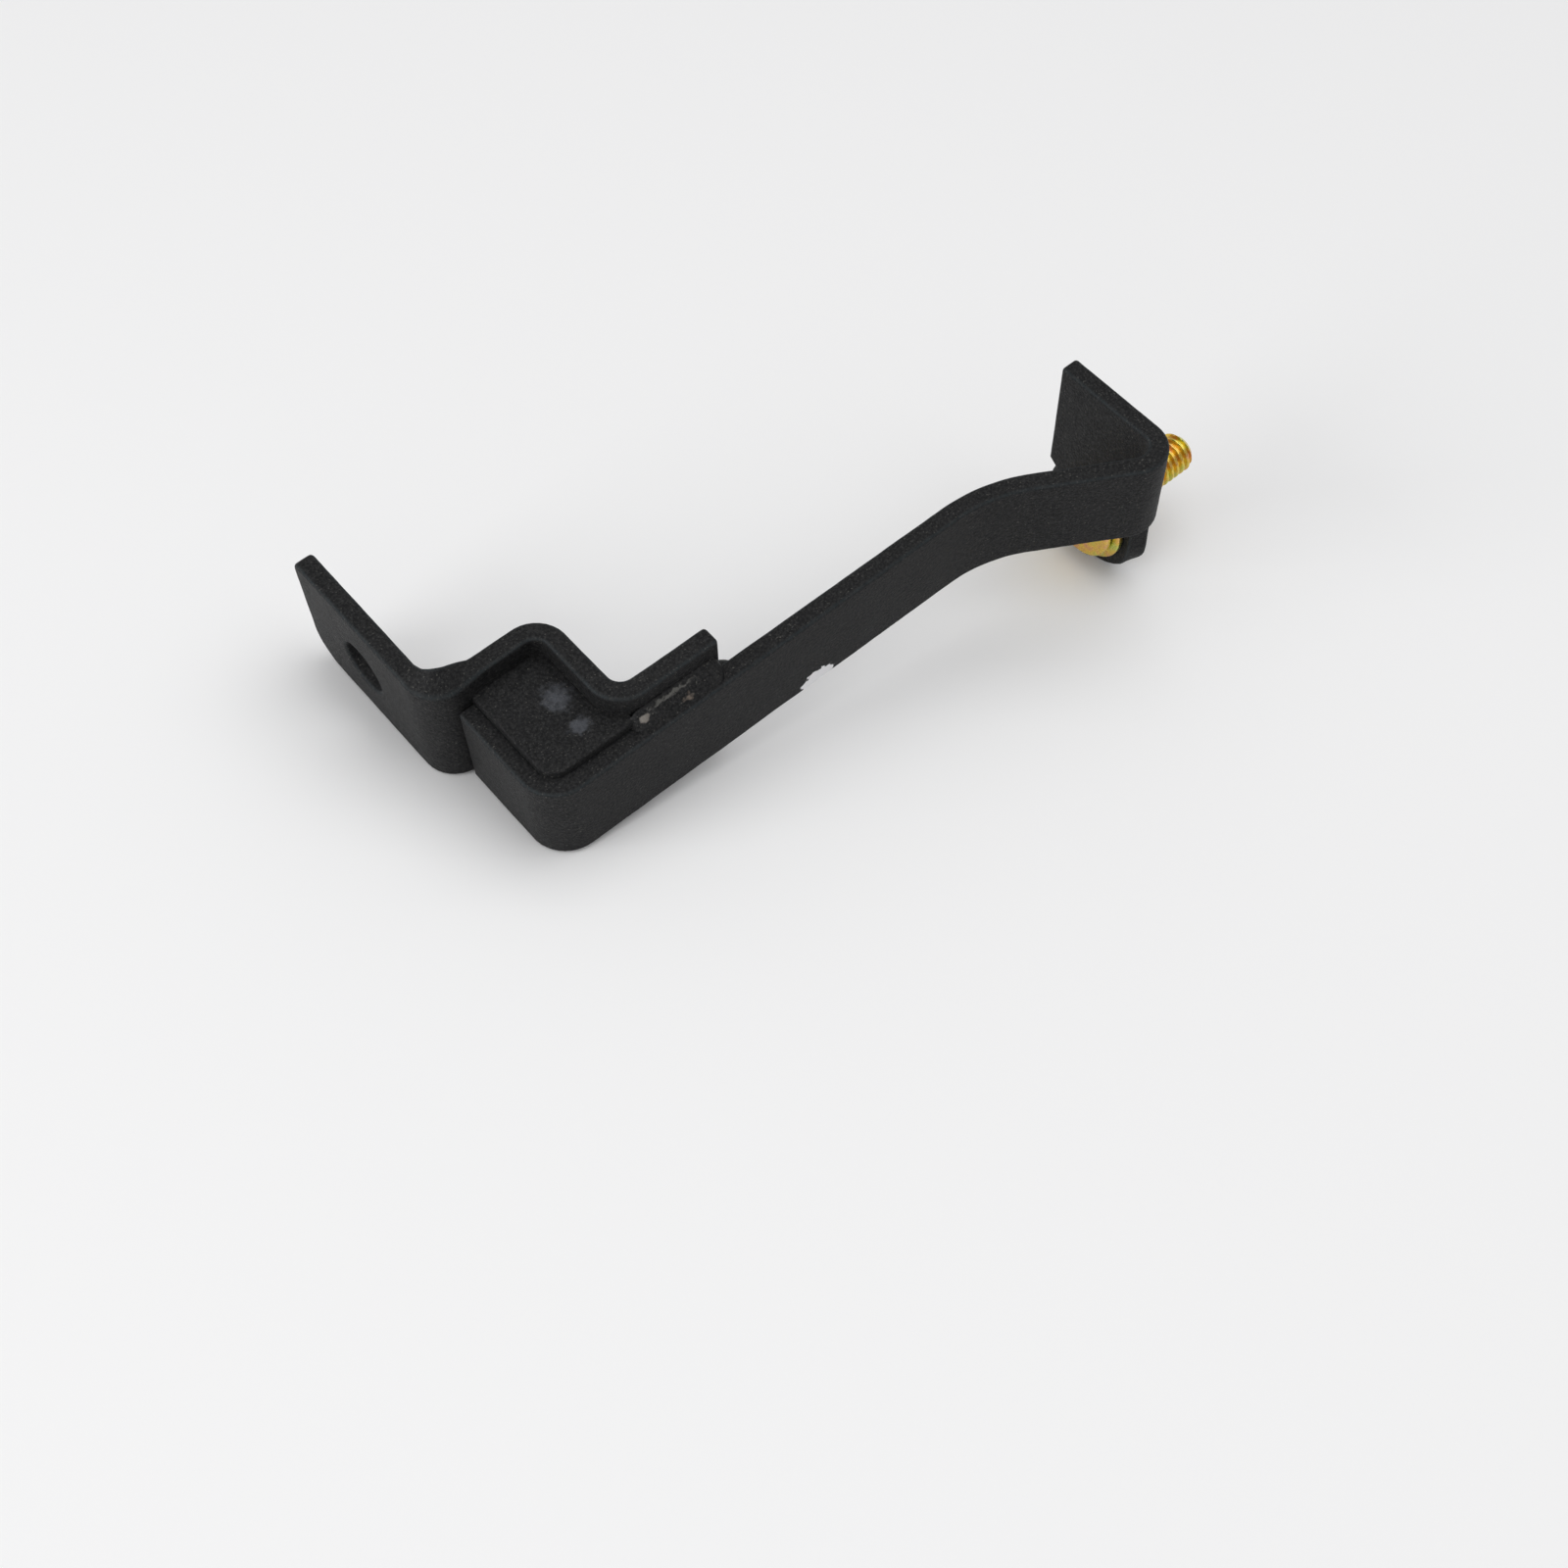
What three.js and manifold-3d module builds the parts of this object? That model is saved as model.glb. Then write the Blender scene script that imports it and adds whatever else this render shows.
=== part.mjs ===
// Shutter dog holdback: a welded bracket of bent flat steel bars that carries one screw.
//
// The bracket is drawn in its own bench frame: X along the long run of the arm, Y across it
// towards the mounting tab, Z up the width of the bars. At the end the whole bracket is laid
// down on the three places that it rests on, so that +Z is up and Z = 0 is the table.

import * as THREE from 'three';
import { mergeVertices } from 'three/addons/utils/BufferGeometryUtils.js';
import Module from 'manifold-3d';

const wasm = await Module();
wasm.setup();

// Driving dimensions, in millimetres and degrees -------------------------------------------

const fit_gap = 0.3;            // left between two pieces that touch on the real bracket

// arm: one blank of sheet steel, bent on edge
const arm_steel = 3.8;          // sheet thickness
const arm_height = 19;          // width of the arm, which stands on edge
const arm_inside_bend = 3.4;    // inside radius of the square bend at the leg
const long_run = 97;            // outside of the leg to the dog-leg
const dogleg_angle = 30.4;      // how far the dog-leg turns
const dogleg_inside = 30;       // inside radius of the dog-leg
const short_run = 38.5;         // dog-leg to the outside corner of the end flange
const flange_inside_bend = 2.7; // inside radius of the bend at the end flange
const flange_length = 32.4;     // outside corner to the free end of the end flange
const edge_round = 0.5;         // small round on every long edge of a bar

// lug: the part of the end flange that hangs below the arm and carries the bolt
const lug_wrap = 32;            // how far round the flange bend the lug starts
const lug_shoulder = 6.2;       // straight side of the lug below the arm
const lug_radius = 11.6;        // round end of the lug
const lug_shoulder_lift = 22;   // where the shoulder chamfer meets the round end, above level
const bolt_drop = 11.9;         // bolt axis below the lower edge of the arm
const bolt_from_flange_end = 12.4; // bolt axis to the free end of the flange

// mounting strip: a wider bar bent three times, lapped on the back of the arm
const strip_steel = 3.8;        // bar thickness
const strip_height = 25.4;      // bar width
const strip_inside_bend = 2.7;  // inside radius of its bends
const pan_width = 17.4;         // outside of the leg to the strip's cross run
const pan_depth = 24.6;         // front of the arm to the strip's back run
const tab_offset = 5;           // mounting face, beyond the outside of the leg
const tab_length = 39;          // back run to the free end of the tab
const lap_length = 21.9;        // cross run to the end of the lapped run
const tab_toe_radius = 6.5;     // lower corner of the tab's free end
const tab_top_radius = 1.6;     // upper corner of the tab's free end
const tab_hole_diameter = 10;   // mounting hole
const tab_hole_from_end = 17;   // hole centre to the free end of the tab
const tab_hole_height = 12.4;   // hole centre above the lower edge of the strip

// gusset plate: closes the pan between the leg, the arm and the strip
const plate_steel = 3.8;        // plate thickness
const plate_proud = 1.8;        // its top, above the top edge of the arm

// weld beads
const lap_bead_leg = 3.4;       // lap bead, along the top of the arm and up the strip
const lap_bead_start = 2.2;     // lap bead, from the end of the bend in the strip
const end_bead_leg = 2.4;       // bead at the end of the lapped run
const end_bead_length = 2.6;    // how far that bead runs on along the arm
const hidden_bead_leg = 3;      // beads under the plate and inside the leg
const hidden_bead_stop = 2.2;   // a hidden bead stops this short of each end of its joint
const bead_crown = 0.62;        // middle of a bead's face, as a share of each leg: 0.5 is flat

// screw: 5/16 in with 18 threads to the inch and a low round head, its washer and its weld nut
const thread_diameter = 7.9;    // outside of the thread
const bolt_length = 26.2;       // under the head to the tip
const bolt_tip_chamfer = 1.1;   // chamfer at the tip
const head_diameter = 14.8;     // low round head
const head_height = 1.7;        // low round head
const head_edge_round = 0.5;    // rounded edge of the head's face
const washer_diameter = 17.5;   // washer outside
const washer_thickness = 1.3;   // washer
const washer_clearance = 0.35;  // washer bore over the thread, on the radius
const lug_hole_clearance = 0.5; // lug hole over the thread, on the radius
const nut_across_flats = 12.7;  // weld nut
const nut_height = 6.7;         // weld nut
const nut_bore_clearance = 0.25; // nut bore over the thread, on the radius
const nut_tack_count = 3;       // tacks that hold the nut
const nut_tack_radius = 1.7;    // one tack

// Fineness of the curved faces, and the overlaps that only shape a cut ----------------------

const bend_step = 10;           // degrees between the facets of a tight bend
const wide_bend_step = 4;       // degrees between the facets of a wide bend
const wide_bend_radius = 20;    // a bend over this radius is wide
const corner_steps = 12;        // facets of a curve in an outline
const round_steps = 2;          // facets across a rounded edge
const shank_sides = 32;         // facets round the holes for the shank
const washer_sides = 48;        // facets round the washer and the head
const tack_sides = 12;          // facets round a tack
const cut_margin = 1;           // how far a cutting tool runs past what it cuts
const lug_root = 5;             // how far the lug's blank reaches up into the flange

// Places worked out from the sizes ---------------------------------------------------------

const radians = THREE.MathUtils.degToRad;
const dogleg_turn = radians(dogleg_angle);
const dogleg_corner = new THREE.Vector2(long_run, 0);
const flange_corner = new THREE.Vector2(
  long_run + short_run * Math.cos(dogleg_turn),
  -short_run * Math.sin(dogleg_turn),
);
const flange_free_end = flange_corner.y + flange_length;
const flange_outer_face = flange_corner.x;
const flange_inner_face = flange_outer_face - arm_steel;
const flange_turn = Math.PI / 2 + dogleg_turn;
const flange_outside_bend = flange_inside_bend + arm_steel;
const flange_bend_centre = new THREE.Vector2(
  flange_outer_face - flange_outside_bend,
  flange_corner.y + flange_outside_bend * Math.tan(flange_turn / 2),
);
const bolt_axis = new THREE.Vector2(flange_free_end - bolt_from_flange_end, -bolt_drop);
const strip_back_face = arm_steel + fit_gap;
const tab_free_end = pan_depth + tab_length;
const leg_end = pan_depth - fit_gap;
const lap_end = pan_width + lap_length;
const strip_outside_bend = strip_inside_bend + strip_steel;
const plate_top = arm_height + plate_proud;
const plate_under = plate_top - plate_steel;
const washer_seat = flange_inner_face - fit_gap;
const head_seat = washer_seat - washer_thickness - fit_gap;
const nut_seat = flange_outer_face + fit_gap;

// Finishes ----------------------------------------------------------------------------------

function finish(color, roughness, metalness) {
  return () => new THREE.MeshStandardMaterial({ color, roughness, metalness });
}

const black_coat = finish(0x1e2122, 0.62, 0.1);
const coated_weld = finish(0x232627, 0.5, 0.15);
const yellow_zinc = finish(0xc8ad45, 0.32, 0.9);

// Solids --------------------------------------------------------------------------------------

function solidOf(geometry) {
  const bare = geometry.clone();
  bare.deleteAttribute('normal');
  bare.deleteAttribute('uv');
  const merged = mergeVertices(bare, 1e-4);
  return new wasm.Manifold(new wasm.Mesh({
    numProp: 3,
    vertProperties: merged.attributes.position.array,
    triVerts: new Uint32Array(merged.index.array),
  }));
}

function geometryOf(solid) {
  const mesh = solid.getMesh();
  const geometry = new THREE.BufferGeometry();
  geometry.setAttribute('position', new THREE.BufferAttribute(mesh.vertProperties, 3));
  geometry.setIndex(new THREE.BufferAttribute(mesh.triVerts, 1));
  geometry.computeVertexNormals();
  return geometry;
}

// An outline drawn in plan (X, Y), raised from one height to another. A rounded one has its
// upper and lower edges rounded off inside the outline.
function raised(shape, low, high, round = 0) {
  const geometry = new THREE.ExtrudeGeometry(shape, {
    depth: high - low - 2 * round,
    bevelEnabled: round > 0,
    bevelThickness: round,
    bevelSize: round,
    bevelOffset: -round,
    bevelSegments: round_steps,
    curveSegments: corner_steps,
  });
  geometry.translate(0, 0, low + round);
  return solidOf(geometry);
}

// An outline drawn looking along X, as (Y, Z), run from one X to another.
function runAlongX(shape, from, to) {
  const geometry = new THREE.ExtrudeGeometry(shape, {
    depth: to - from,
    bevelEnabled: false,
    curveSegments: corner_steps,
  });
  geometry.applyMatrix4(new THREE.Matrix4().makeBasis(
    new THREE.Vector3(0, 1, 0),
    new THREE.Vector3(0, 0, 1),
    new THREE.Vector3(1, 0, 0),
  ));
  geometry.translate(from, 0, 0);
  return solidOf(geometry);
}

// An outline drawn looking along Y, as (X, Z), run from one Y to another.
function runAlongY(shape, from, to) {
  const geometry = new THREE.ExtrudeGeometry(shape, {
    depth: to - from,
    bevelEnabled: false,
    curveSegments: corner_steps,
  });
  geometry.applyMatrix4(new THREE.Matrix4().makeBasis(
    new THREE.Vector3(1, 0, 0),
    new THREE.Vector3(0, 0, 1),
    new THREE.Vector3(0, -1, 0),
  ));
  geometry.translate(0, to, 0);
  return solidOf(geometry);
}

// A turned shape on the bolt axis: the profile gives (radius, X) from one end to the other.
function turnedOnBolt(profile, sides) {
  const points = profile.map(([radius, along]) => new THREE.Vector2(radius, along));
  const geometry = new THREE.LatheGeometry(points, sides);
  geometry.rotateZ(-Math.PI / 2);
  geometry.translate(0, bolt_axis.x, bolt_axis.y);
  return solidOf(geometry);
}

// A round bar on the bolt axis from one X to another, such as the one that clears a hole.
function roundBar(radius, from, to) {
  return turnedOnBolt([[0, from], [radius, from], [radius, to], [0, to]], shank_sides);
}

// Bent bars -----------------------------------------------------------------------------------

// One face of a bar that is bent on edge, seen in plan. The corners are the sharp corners of the
// face on the right of the way it runs, the metal lies to its left, and the offset is how far to
// the left of that face the wanted one is.
function barFace(corners, insideRadii, thickness, offset) {
  const toLeft = (along) => new THREE.Vector2(-along.y, along.x);
  const first = corners[1].clone().sub(corners[0]).normalize();
  const points = [corners[0].clone().addScaledVector(toLeft(first), offset)];
  insideRadii.forEach((inside, i) => {
    const corner = corners[i + 1];
    const into = corner.clone().sub(corners[i]).normalize();
    const out = corners[i + 2].clone().sub(corner).normalize();
    const turn = Math.atan2(into.cross(out), into.dot(out));
    const side = Math.sign(turn);
    const rightRadius = side > 0 ? inside + thickness : inside;
    const radius = rightRadius - side * offset;
    const centre = corner.clone()
      .addScaledVector(into, -rightRadius * Math.tan(Math.abs(turn) / 2))
      .addScaledVector(toLeft(into), side * rightRadius);
    const spoke = toLeft(into).multiplyScalar(-side * radius);
    const steps = Math.ceil(Math.abs(turn) / radians(turnStep(rightRadius)));
    for (let k = 0; k <= steps; k += 1) {
      const arm = spoke.clone().rotateAround(new THREE.Vector2(), turn * k / steps);
      points.push(arm.add(centre));
    }
  });
  const tail = corners.length - 1;
  const final = corners[tail].clone().sub(corners[tail - 1]).normalize();
  points.push(corners[tail].clone().addScaledVector(toLeft(final), offset));
  return points;
}

// A wide bend needs finer steps than a tight one.
function turnStep(radius) {
  return radius > wide_bend_radius ? wide_bend_step : bend_step;
}

function bentBar(corners, insideRadii, thickness) {
  const right = barFace(corners, insideRadii, thickness, 0);
  const left = barFace(corners, insideRadii, thickness, thickness);
  return new THREE.Shape([...right, ...left.reverse()]);
}

function polygon(points) {
  return new THREE.Shape(points.map(([x, y]) => new THREE.Vector2(x, y)));
}

// Sub-parts -----------------------------------------------------------------------------------

const arm_corners = [
  new THREE.Vector2(0, leg_end),
  new THREE.Vector2(0, 0),
  dogleg_corner,
  flange_corner,
  new THREE.Vector2(flange_outer_face, flange_free_end),
];
const arm_bends = [arm_inside_bend, dogleg_inside, flange_inside_bend];

// The lug seen along the bolt, as (Y, Z): straight sides, two small shoulders and a round end.
function lugOutline(top) {
  const lift = radians(lug_shoulder_lift);
  const right = flange_bend_centre.y - flange_outside_bend * Math.sin(radians(lug_wrap));
  const shape = new THREE.Shape();
  shape.moveTo(flange_free_end, top);
  shape.lineTo(flange_free_end, -lug_shoulder);
  shape.absarc(bolt_axis.x, bolt_axis.y, lug_radius, lift, -Math.PI, true);
  shape.lineTo(right, -lug_shoulder);
  shape.lineTo(right, top);
  return shape;
}

// Everything on the flange side of a radial cut through the flange bend, in plan.
function flangeSide(reach) {
  const start = radians(lug_wrap);
  const centre = flange_bend_centre;
  return polygon([
    [centre.x, centre.y],
    [centre.x + reach * Math.cos(start), centre.y - reach * Math.sin(start)],
    [centre.x + reach, centre.y + reach],
    [centre.x, centre.y + reach],
  ]);
}

function arm() {
  const plan = bentBar(arm_corners, arm_bends, arm_steel);
  const bar = raised(plan, 0, arm_height, edge_round);
  const lowest = bolt_axis.y - lug_radius - cut_margin;
  const reach = 2 * flange_length;
  const behind_bend = flange_bend_centre.x - cut_margin;
  const past_face = flange_outer_face + cut_margin;
  const lug = raised(plan, lowest, lug_root)
    .intersect(raised(flangeSide(reach), lowest - cut_margin, lug_root + cut_margin))
    .intersect(runAlongX(lugOutline(lug_root), behind_bend, past_face));
  const hole_radius = thread_diameter / 2 + lug_hole_clearance;
  return bar.add(lug).subtract(roundBar(hole_radius, flange_inner_face - cut_margin, past_face));
}

// The tab's free end seen along X, as (Y, Z): what the blank's end keeps.
function tabEndOutline() {
  const past = 2 * strip_height;
  const toe = tab_free_end - tab_toe_radius;
  const top = strip_height - tab_top_radius;
  const shape = new THREE.Shape();
  shape.moveTo(-past, -cut_margin);
  shape.lineTo(toe, -cut_margin);
  shape.lineTo(toe, 0);
  shape.absarc(toe, tab_toe_radius, tab_toe_radius, -Math.PI / 2, 0, false);
  shape.lineTo(tab_free_end, top);
  shape.absarc(tab_free_end - tab_top_radius, top, tab_top_radius, 0, Math.PI / 2, false);
  shape.lineTo(tab_free_end - tab_top_radius, strip_height + cut_margin);
  shape.lineTo(-past, strip_height + cut_margin);
  return shape;
}

function mounting_strip() {
  const face = -tab_offset;
  const corners = [
    new THREE.Vector2(face, tab_free_end),
    new THREE.Vector2(face, pan_depth),
    new THREE.Vector2(pan_width, pan_depth),
    new THREE.Vector2(pan_width, strip_back_face),
    new THREE.Vector2(lap_end, strip_back_face),
  ];
  const bends = [strip_inside_bend, strip_inside_bend, strip_inside_bend];
  const bar = raised(bentBar(corners, bends, strip_steel), 0, strip_height, edge_round);
  const hole = new THREE.Shape();
  hole.absarc(tab_free_end - tab_hole_from_end, tab_hole_height, tab_hole_diameter / 2, 0, 2 * Math.PI);
  return bar
    .intersect(runAlongX(tabEndOutline(), face - cut_margin, lap_end + cut_margin))
    .subtract(runAlongX(hole, face - cut_margin, face + strip_steel + cut_margin));
}

// The plate follows the leg, the arm and the strip round the pan, a fit gap inside them.
function gusset_plate() {
  const left = arm_steel + fit_gap;
  const front = arm_steel + fit_gap;
  const right = pan_width - fit_gap;
  const back = pan_depth - fit_gap;
  const front_corner = arm_inside_bend - fit_gap;
  const back_corner = strip_inside_bend;
  const nook = strip_outside_bend + fit_gap;
  const nook_centre = new THREE.Vector2(pan_width + strip_outside_bend, strip_back_face + strip_outside_bend);
  const tip_turn = radians(60);
  const shape = new THREE.Shape();
  shape.moveTo(left, back);
  shape.lineTo(left, front + front_corner);
  shape.absarc(left + front_corner, front + front_corner, front_corner, Math.PI, 1.5 * Math.PI, false);
  shape.lineTo(nook_centre.x - nook * Math.cos(tip_turn), front);
  shape.absarc(nook_centre.x, nook_centre.y, nook, Math.PI + tip_turn, Math.PI, true);
  shape.lineTo(right, back - back_corner);
  shape.absarc(right - back_corner, back - back_corner, back_corner, 0, Math.PI / 2, false);
  return raised(shape, plate_under, plate_top);
}

// Section of a fillet bead in its corner: two legs and a slightly crowned face between them.
function filletSection(corner, legs, away) {
  const along = away[0] * legs[0];
  const up = away[1] * legs[1];
  return polygon([
    [corner[0], corner[1]],
    [corner[0] + along, corner[1]],
    [corner[0] + along * bead_crown, corner[1] + up * bead_crown],
    [corner[0], corner[1] + up],
  ]);
}

// along the top of the arm, against the lapped run of the strip
function lap_weld() {
  const corner = [arm_steel, arm_height + fit_gap];
  const section = filletSection(corner, [lap_bead_leg, lap_bead_leg], [-1, 1]);
  return runAlongX(section, pan_width + lap_bead_start, lap_end - fit_gap);
}

// at the end of the lapped run, against the back of the arm
function strip_end_weld() {
  const corner = [lap_end + fit_gap, arm_steel + fit_gap];
  const section = filletSection(corner, [end_bead_length, end_bead_leg], [1, 1]);
  return raised(section, 2 * edge_round, arm_height - 2 * edge_round);
}

// inside the pan, from the leg to the back run of the strip
function leg_weld() {
  const corner = [arm_steel + fit_gap, pan_depth - fit_gap];
  const section = filletSection(corner, [hidden_bead_leg, hidden_bead_leg], [1, -1]);
  return raised(section, hidden_bead_stop, plate_under - hidden_bead_stop);
}

// under the plate, along the inside of the arm
function plate_weld_arm() {
  const corner = [arm_steel + fit_gap, plate_under - fit_gap];
  const section = filletSection(corner, [hidden_bead_leg, hidden_bead_leg], [1, -1]);
  const start = arm_steel + arm_inside_bend + hidden_bead_stop;
  return runAlongX(section, start, pan_width - hidden_bead_stop);
}

// under the plate, along the cross run of the strip
function plate_weld_strip() {
  const corner = [pan_width - fit_gap, plate_under - fit_gap];
  const section = filletSection(corner, [hidden_bead_leg, hidden_bead_leg], [-1, -1]);
  const start = arm_steel + strip_outside_bend;
  return runAlongY(section, start, pan_depth - strip_inside_bend - hidden_bead_leg - hidden_bead_stop);
}

// A hexagon on the bolt axis, flats up and down, as (Y, Z).
function hexagon(across_flats) {
  const corner = across_flats / Math.sqrt(3);
  const points = Array.from({ length: 6 }, (_, i) => {
    const angle = i * Math.PI / 3;
    return [bolt_axis.x + corner * Math.cos(angle), bolt_axis.y + corner * Math.sin(angle)];
  });
  return polygon(points);
}

function weld_nut() {
  const block = runAlongX(hexagon(nut_across_flats), nut_seat, nut_seat + nut_height);
  const bore_radius = thread_diameter / 2 + nut_bore_clearance;
  return block.subtract(roundBar(bore_radius, nut_seat - cut_margin, nut_seat + nut_height + cut_margin));
}

// one of the tacks between the nut's flats and the lug
function nut_tack(index) {
  const turn = index * 2 * Math.PI / nut_tack_count;
  const spot = new THREE.SphereGeometry(nut_tack_radius, tack_sides, tack_sides);
  spot.translate(nut_seat, 0, nut_across_flats / 2 + fit_gap);
  spot.rotateX(turn);
  spot.translate(0, bolt_axis.x, bolt_axis.y);
  const lug_side = roundBar(2 * lug_radius, nut_seat - 2 * nut_tack_radius, nut_seat);
  const nut_room = hexagon(nut_across_flats + 2 * fit_gap);
  return solidOf(spot)
    .subtract(lug_side)
    .subtract(runAlongX(nut_room, nut_seat - cut_margin, nut_seat + nut_height));
}

function washer() {
  const bore = thread_diameter / 2 + washer_clearance;
  const near = washer_seat - washer_thickness;
  return turnedOnBolt([
    [bore, near],
    [washer_diameter / 2, near],
    [washer_diameter / 2, washer_seat],
    [bore, washer_seat],
    [bore, near],
  ], washer_sides);
}

function bolt() {
  const radius = thread_diameter / 2;
  const tip = head_seat + bolt_length;
  const top = head_seat - head_height;
  const rim = head_diameter / 2;
  return turnedOnBolt([
    [0, top],
    [rim - head_edge_round, top],
    [rim, top + head_edge_round],
    [rim, head_seat],
    [radius, head_seat],
    [radius, tip - bolt_tip_chamfer],
    [radius - bolt_tip_chamfer, tip],
    [0, tip],
  ], washer_sides);
}

// Assembly ------------------------------------------------------------------------------------

const bracket = new THREE.Group();

function place(name, solid, material) {
  const mesh = new THREE.Mesh(geometryOf(solid), material);
  mesh.name = name;
  bracket.add(mesh);
}

place('arm', arm(), black_coat());
place('mounting_strip', mounting_strip(), black_coat());
place('gusset_plate', gusset_plate(), black_coat());
place('lap_weld', lap_weld(), coated_weld());
place('strip_end_weld', strip_end_weld(), coated_weld());
place('leg_weld', leg_weld(), coated_weld());
place('plate_weld_arm', plate_weld_arm(), coated_weld());
place('plate_weld_strip', plate_weld_strip(), coated_weld());
place('weld_nut', weld_nut(), black_coat());
for (let i = 0; i < nut_tack_count; i += 1) {
  place(`nut_tack_${i + 1}`, nut_tack(i), coated_weld());
}
place('washer', washer(), yellow_zinc());
place('bolt', bolt(), yellow_zinc());

// The three places that the bracket rests on: the leg's bend, the tab's bend and the lug.
const arm_outside_bend = arm_inside_bend + arm_steel;
const leg_foot = new THREE.Vector3(0, arm_outside_bend, 0);
const tab_foot = new THREE.Vector3(-tab_offset, pan_depth + strip_outside_bend, 0);
const lug_foot = new THREE.Vector3(flange_inner_face, bolt_axis.x, bolt_axis.y - lug_radius);
const table_up = new THREE.Plane().setFromCoplanarPoints(leg_foot, lug_foot, tab_foot).normal;
bracket.quaternion.setFromUnitVectors(table_up, new THREE.Vector3(0, 0, 1));
bracket.updateMatrixWorld(true);

// The origin is under the middle of the bracket, on the table.
const outer_box = new THREE.Box3().setFromObject(bracket, true);
const middle = outer_box.getCenter(new THREE.Vector3());
bracket.position.set(-middle.x, -middle.y, -outer_box.min.z);

const shutter_dog_holdback = new THREE.Group();
shutter_dog_holdback.add(bracket);

export default shutter_dog_holdback;
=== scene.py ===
# %% [markdown]
# # A shutter dog holdback
#
# The object is a small welded bracket. An arm of bent flat steel ends in a flange with a hanging
# lug, and the lug carries a zinc plated screw. A second, wider strip is lapped and welded on the
# back of the arm and ends in a drilled mounting tab. A plate closes the pan between the two.
#
# Each cell makes one piece or one finish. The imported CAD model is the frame: it says where every
# piece sits and how the screw moves, and each piece made here rides on one of its bodies.

# %% Load the frame
import math

import bmesh
import bpy
from mathutils import Matrix, Vector


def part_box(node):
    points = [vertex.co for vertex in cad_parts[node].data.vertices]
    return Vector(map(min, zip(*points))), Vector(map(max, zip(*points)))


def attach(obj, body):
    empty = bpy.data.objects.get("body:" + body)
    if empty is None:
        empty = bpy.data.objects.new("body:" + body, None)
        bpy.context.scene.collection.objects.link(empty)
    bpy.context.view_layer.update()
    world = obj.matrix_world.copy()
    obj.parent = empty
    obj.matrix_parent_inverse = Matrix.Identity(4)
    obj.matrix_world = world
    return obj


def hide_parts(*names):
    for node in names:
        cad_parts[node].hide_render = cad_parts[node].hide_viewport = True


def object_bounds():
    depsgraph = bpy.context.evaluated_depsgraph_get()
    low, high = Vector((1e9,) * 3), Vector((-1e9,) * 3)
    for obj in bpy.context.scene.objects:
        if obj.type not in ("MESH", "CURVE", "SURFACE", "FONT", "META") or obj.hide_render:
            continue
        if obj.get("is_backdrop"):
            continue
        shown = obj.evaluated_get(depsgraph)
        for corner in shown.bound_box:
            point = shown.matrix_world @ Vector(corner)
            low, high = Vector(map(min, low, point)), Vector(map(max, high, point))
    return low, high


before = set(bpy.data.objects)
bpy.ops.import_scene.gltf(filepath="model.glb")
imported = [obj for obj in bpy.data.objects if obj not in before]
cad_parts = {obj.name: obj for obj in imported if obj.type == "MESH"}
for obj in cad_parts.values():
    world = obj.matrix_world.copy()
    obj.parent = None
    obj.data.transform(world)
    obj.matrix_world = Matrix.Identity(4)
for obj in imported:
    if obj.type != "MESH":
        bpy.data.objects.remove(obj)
cad_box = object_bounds()
print("CAD box, mm:", [[round(v * 1000, 2) for v in corner] for corner in cad_box])

# %% [markdown]
# ## The bench and the table
#
# A sheet-metal worker measures a bracket square to its bars, but this one lies on a table on
# three feet: the bend of its leg, the bend of its tab and the bottom of its lug. So each piece is
# drawn in millimetres in a bench frame, X along the arm, Y to the back and Z up the width of the
# bars, and one matrix lays it on the table. The tilt follows from the three feet. The weld nut is
# symmetric about its middle, so the middle of its box is its middle at any tilt, and that gives
# the matrix its place.

# %% Sizes of the bars, in millimetres, and the matrix that lays them down
steel = 3.8
arm_height = 19
arm_inside_bend = 3.4
long_run = 97
dogleg_turn = math.radians(30.4)
dogleg_inside = 30
short_run = 38.5
tight_bend = 2.7
flange_length = 32.4
bolt_drop = 11.9
bolt_from_flange_end = 12.4
lug_radius = 11.6
strip_height = 25.4
pan_width = 17.4
pan_depth = 24.6
tab_offset = 5
tab_length = 39
lap_length = 21.9
fit_gap = 0.3
washer_thickness = 1.3
nut_height = 6.7
nut_flats = 12.7

flange_face = long_run + short_run * math.cos(dogleg_turn)
flange_corner_y = -short_run * math.sin(dogleg_turn)
flange_end = flange_corner_y + flange_length
bolt_y = flange_end - bolt_from_flange_end
nut_seat = flange_face + fit_gap
washer_near = flange_face - steel - fit_gap - washer_thickness
head_seat = washer_near - fit_gap

leg_foot = Vector((0, arm_inside_bend + steel, 0))
tab_foot = Vector((-tab_offset, pan_depth + tight_bend + steel, 0))
lug_foot = Vector((flange_face - steel, bolt_y, -bolt_drop - lug_radius))
table_up = (lug_foot - leg_foot).cross(tab_foot - leg_foot).normalized()
tilt = table_up.rotation_difference(Vector((0, 0, 1))).to_matrix()

mm = 0.001
nut_low, nut_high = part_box("weld_nut")
nut_middle = Vector((nut_seat + nut_height / 2, bolt_y, -bolt_drop))
bench_origin = (nut_low + nut_high) / 2 - tilt @ nut_middle * mm
on_table = Matrix.Translation(bench_origin) @ tilt.to_4x4() @ Matrix.Scale(mm, 4)
print("lean, degrees:", round(math.degrees(table_up.angle(Vector((0, 0, 1)))), 2))

# %% [markdown]
# ## Three small helpers
#
# Colours are written as sRGB hex values, and shaders want linear light, so one function turns
# them. Another adds a node with its settings and links. The last one finishes a piece: it lays
# the mesh down with the matrix, so the object itself stays at the origin, and shades it smooth.

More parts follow.
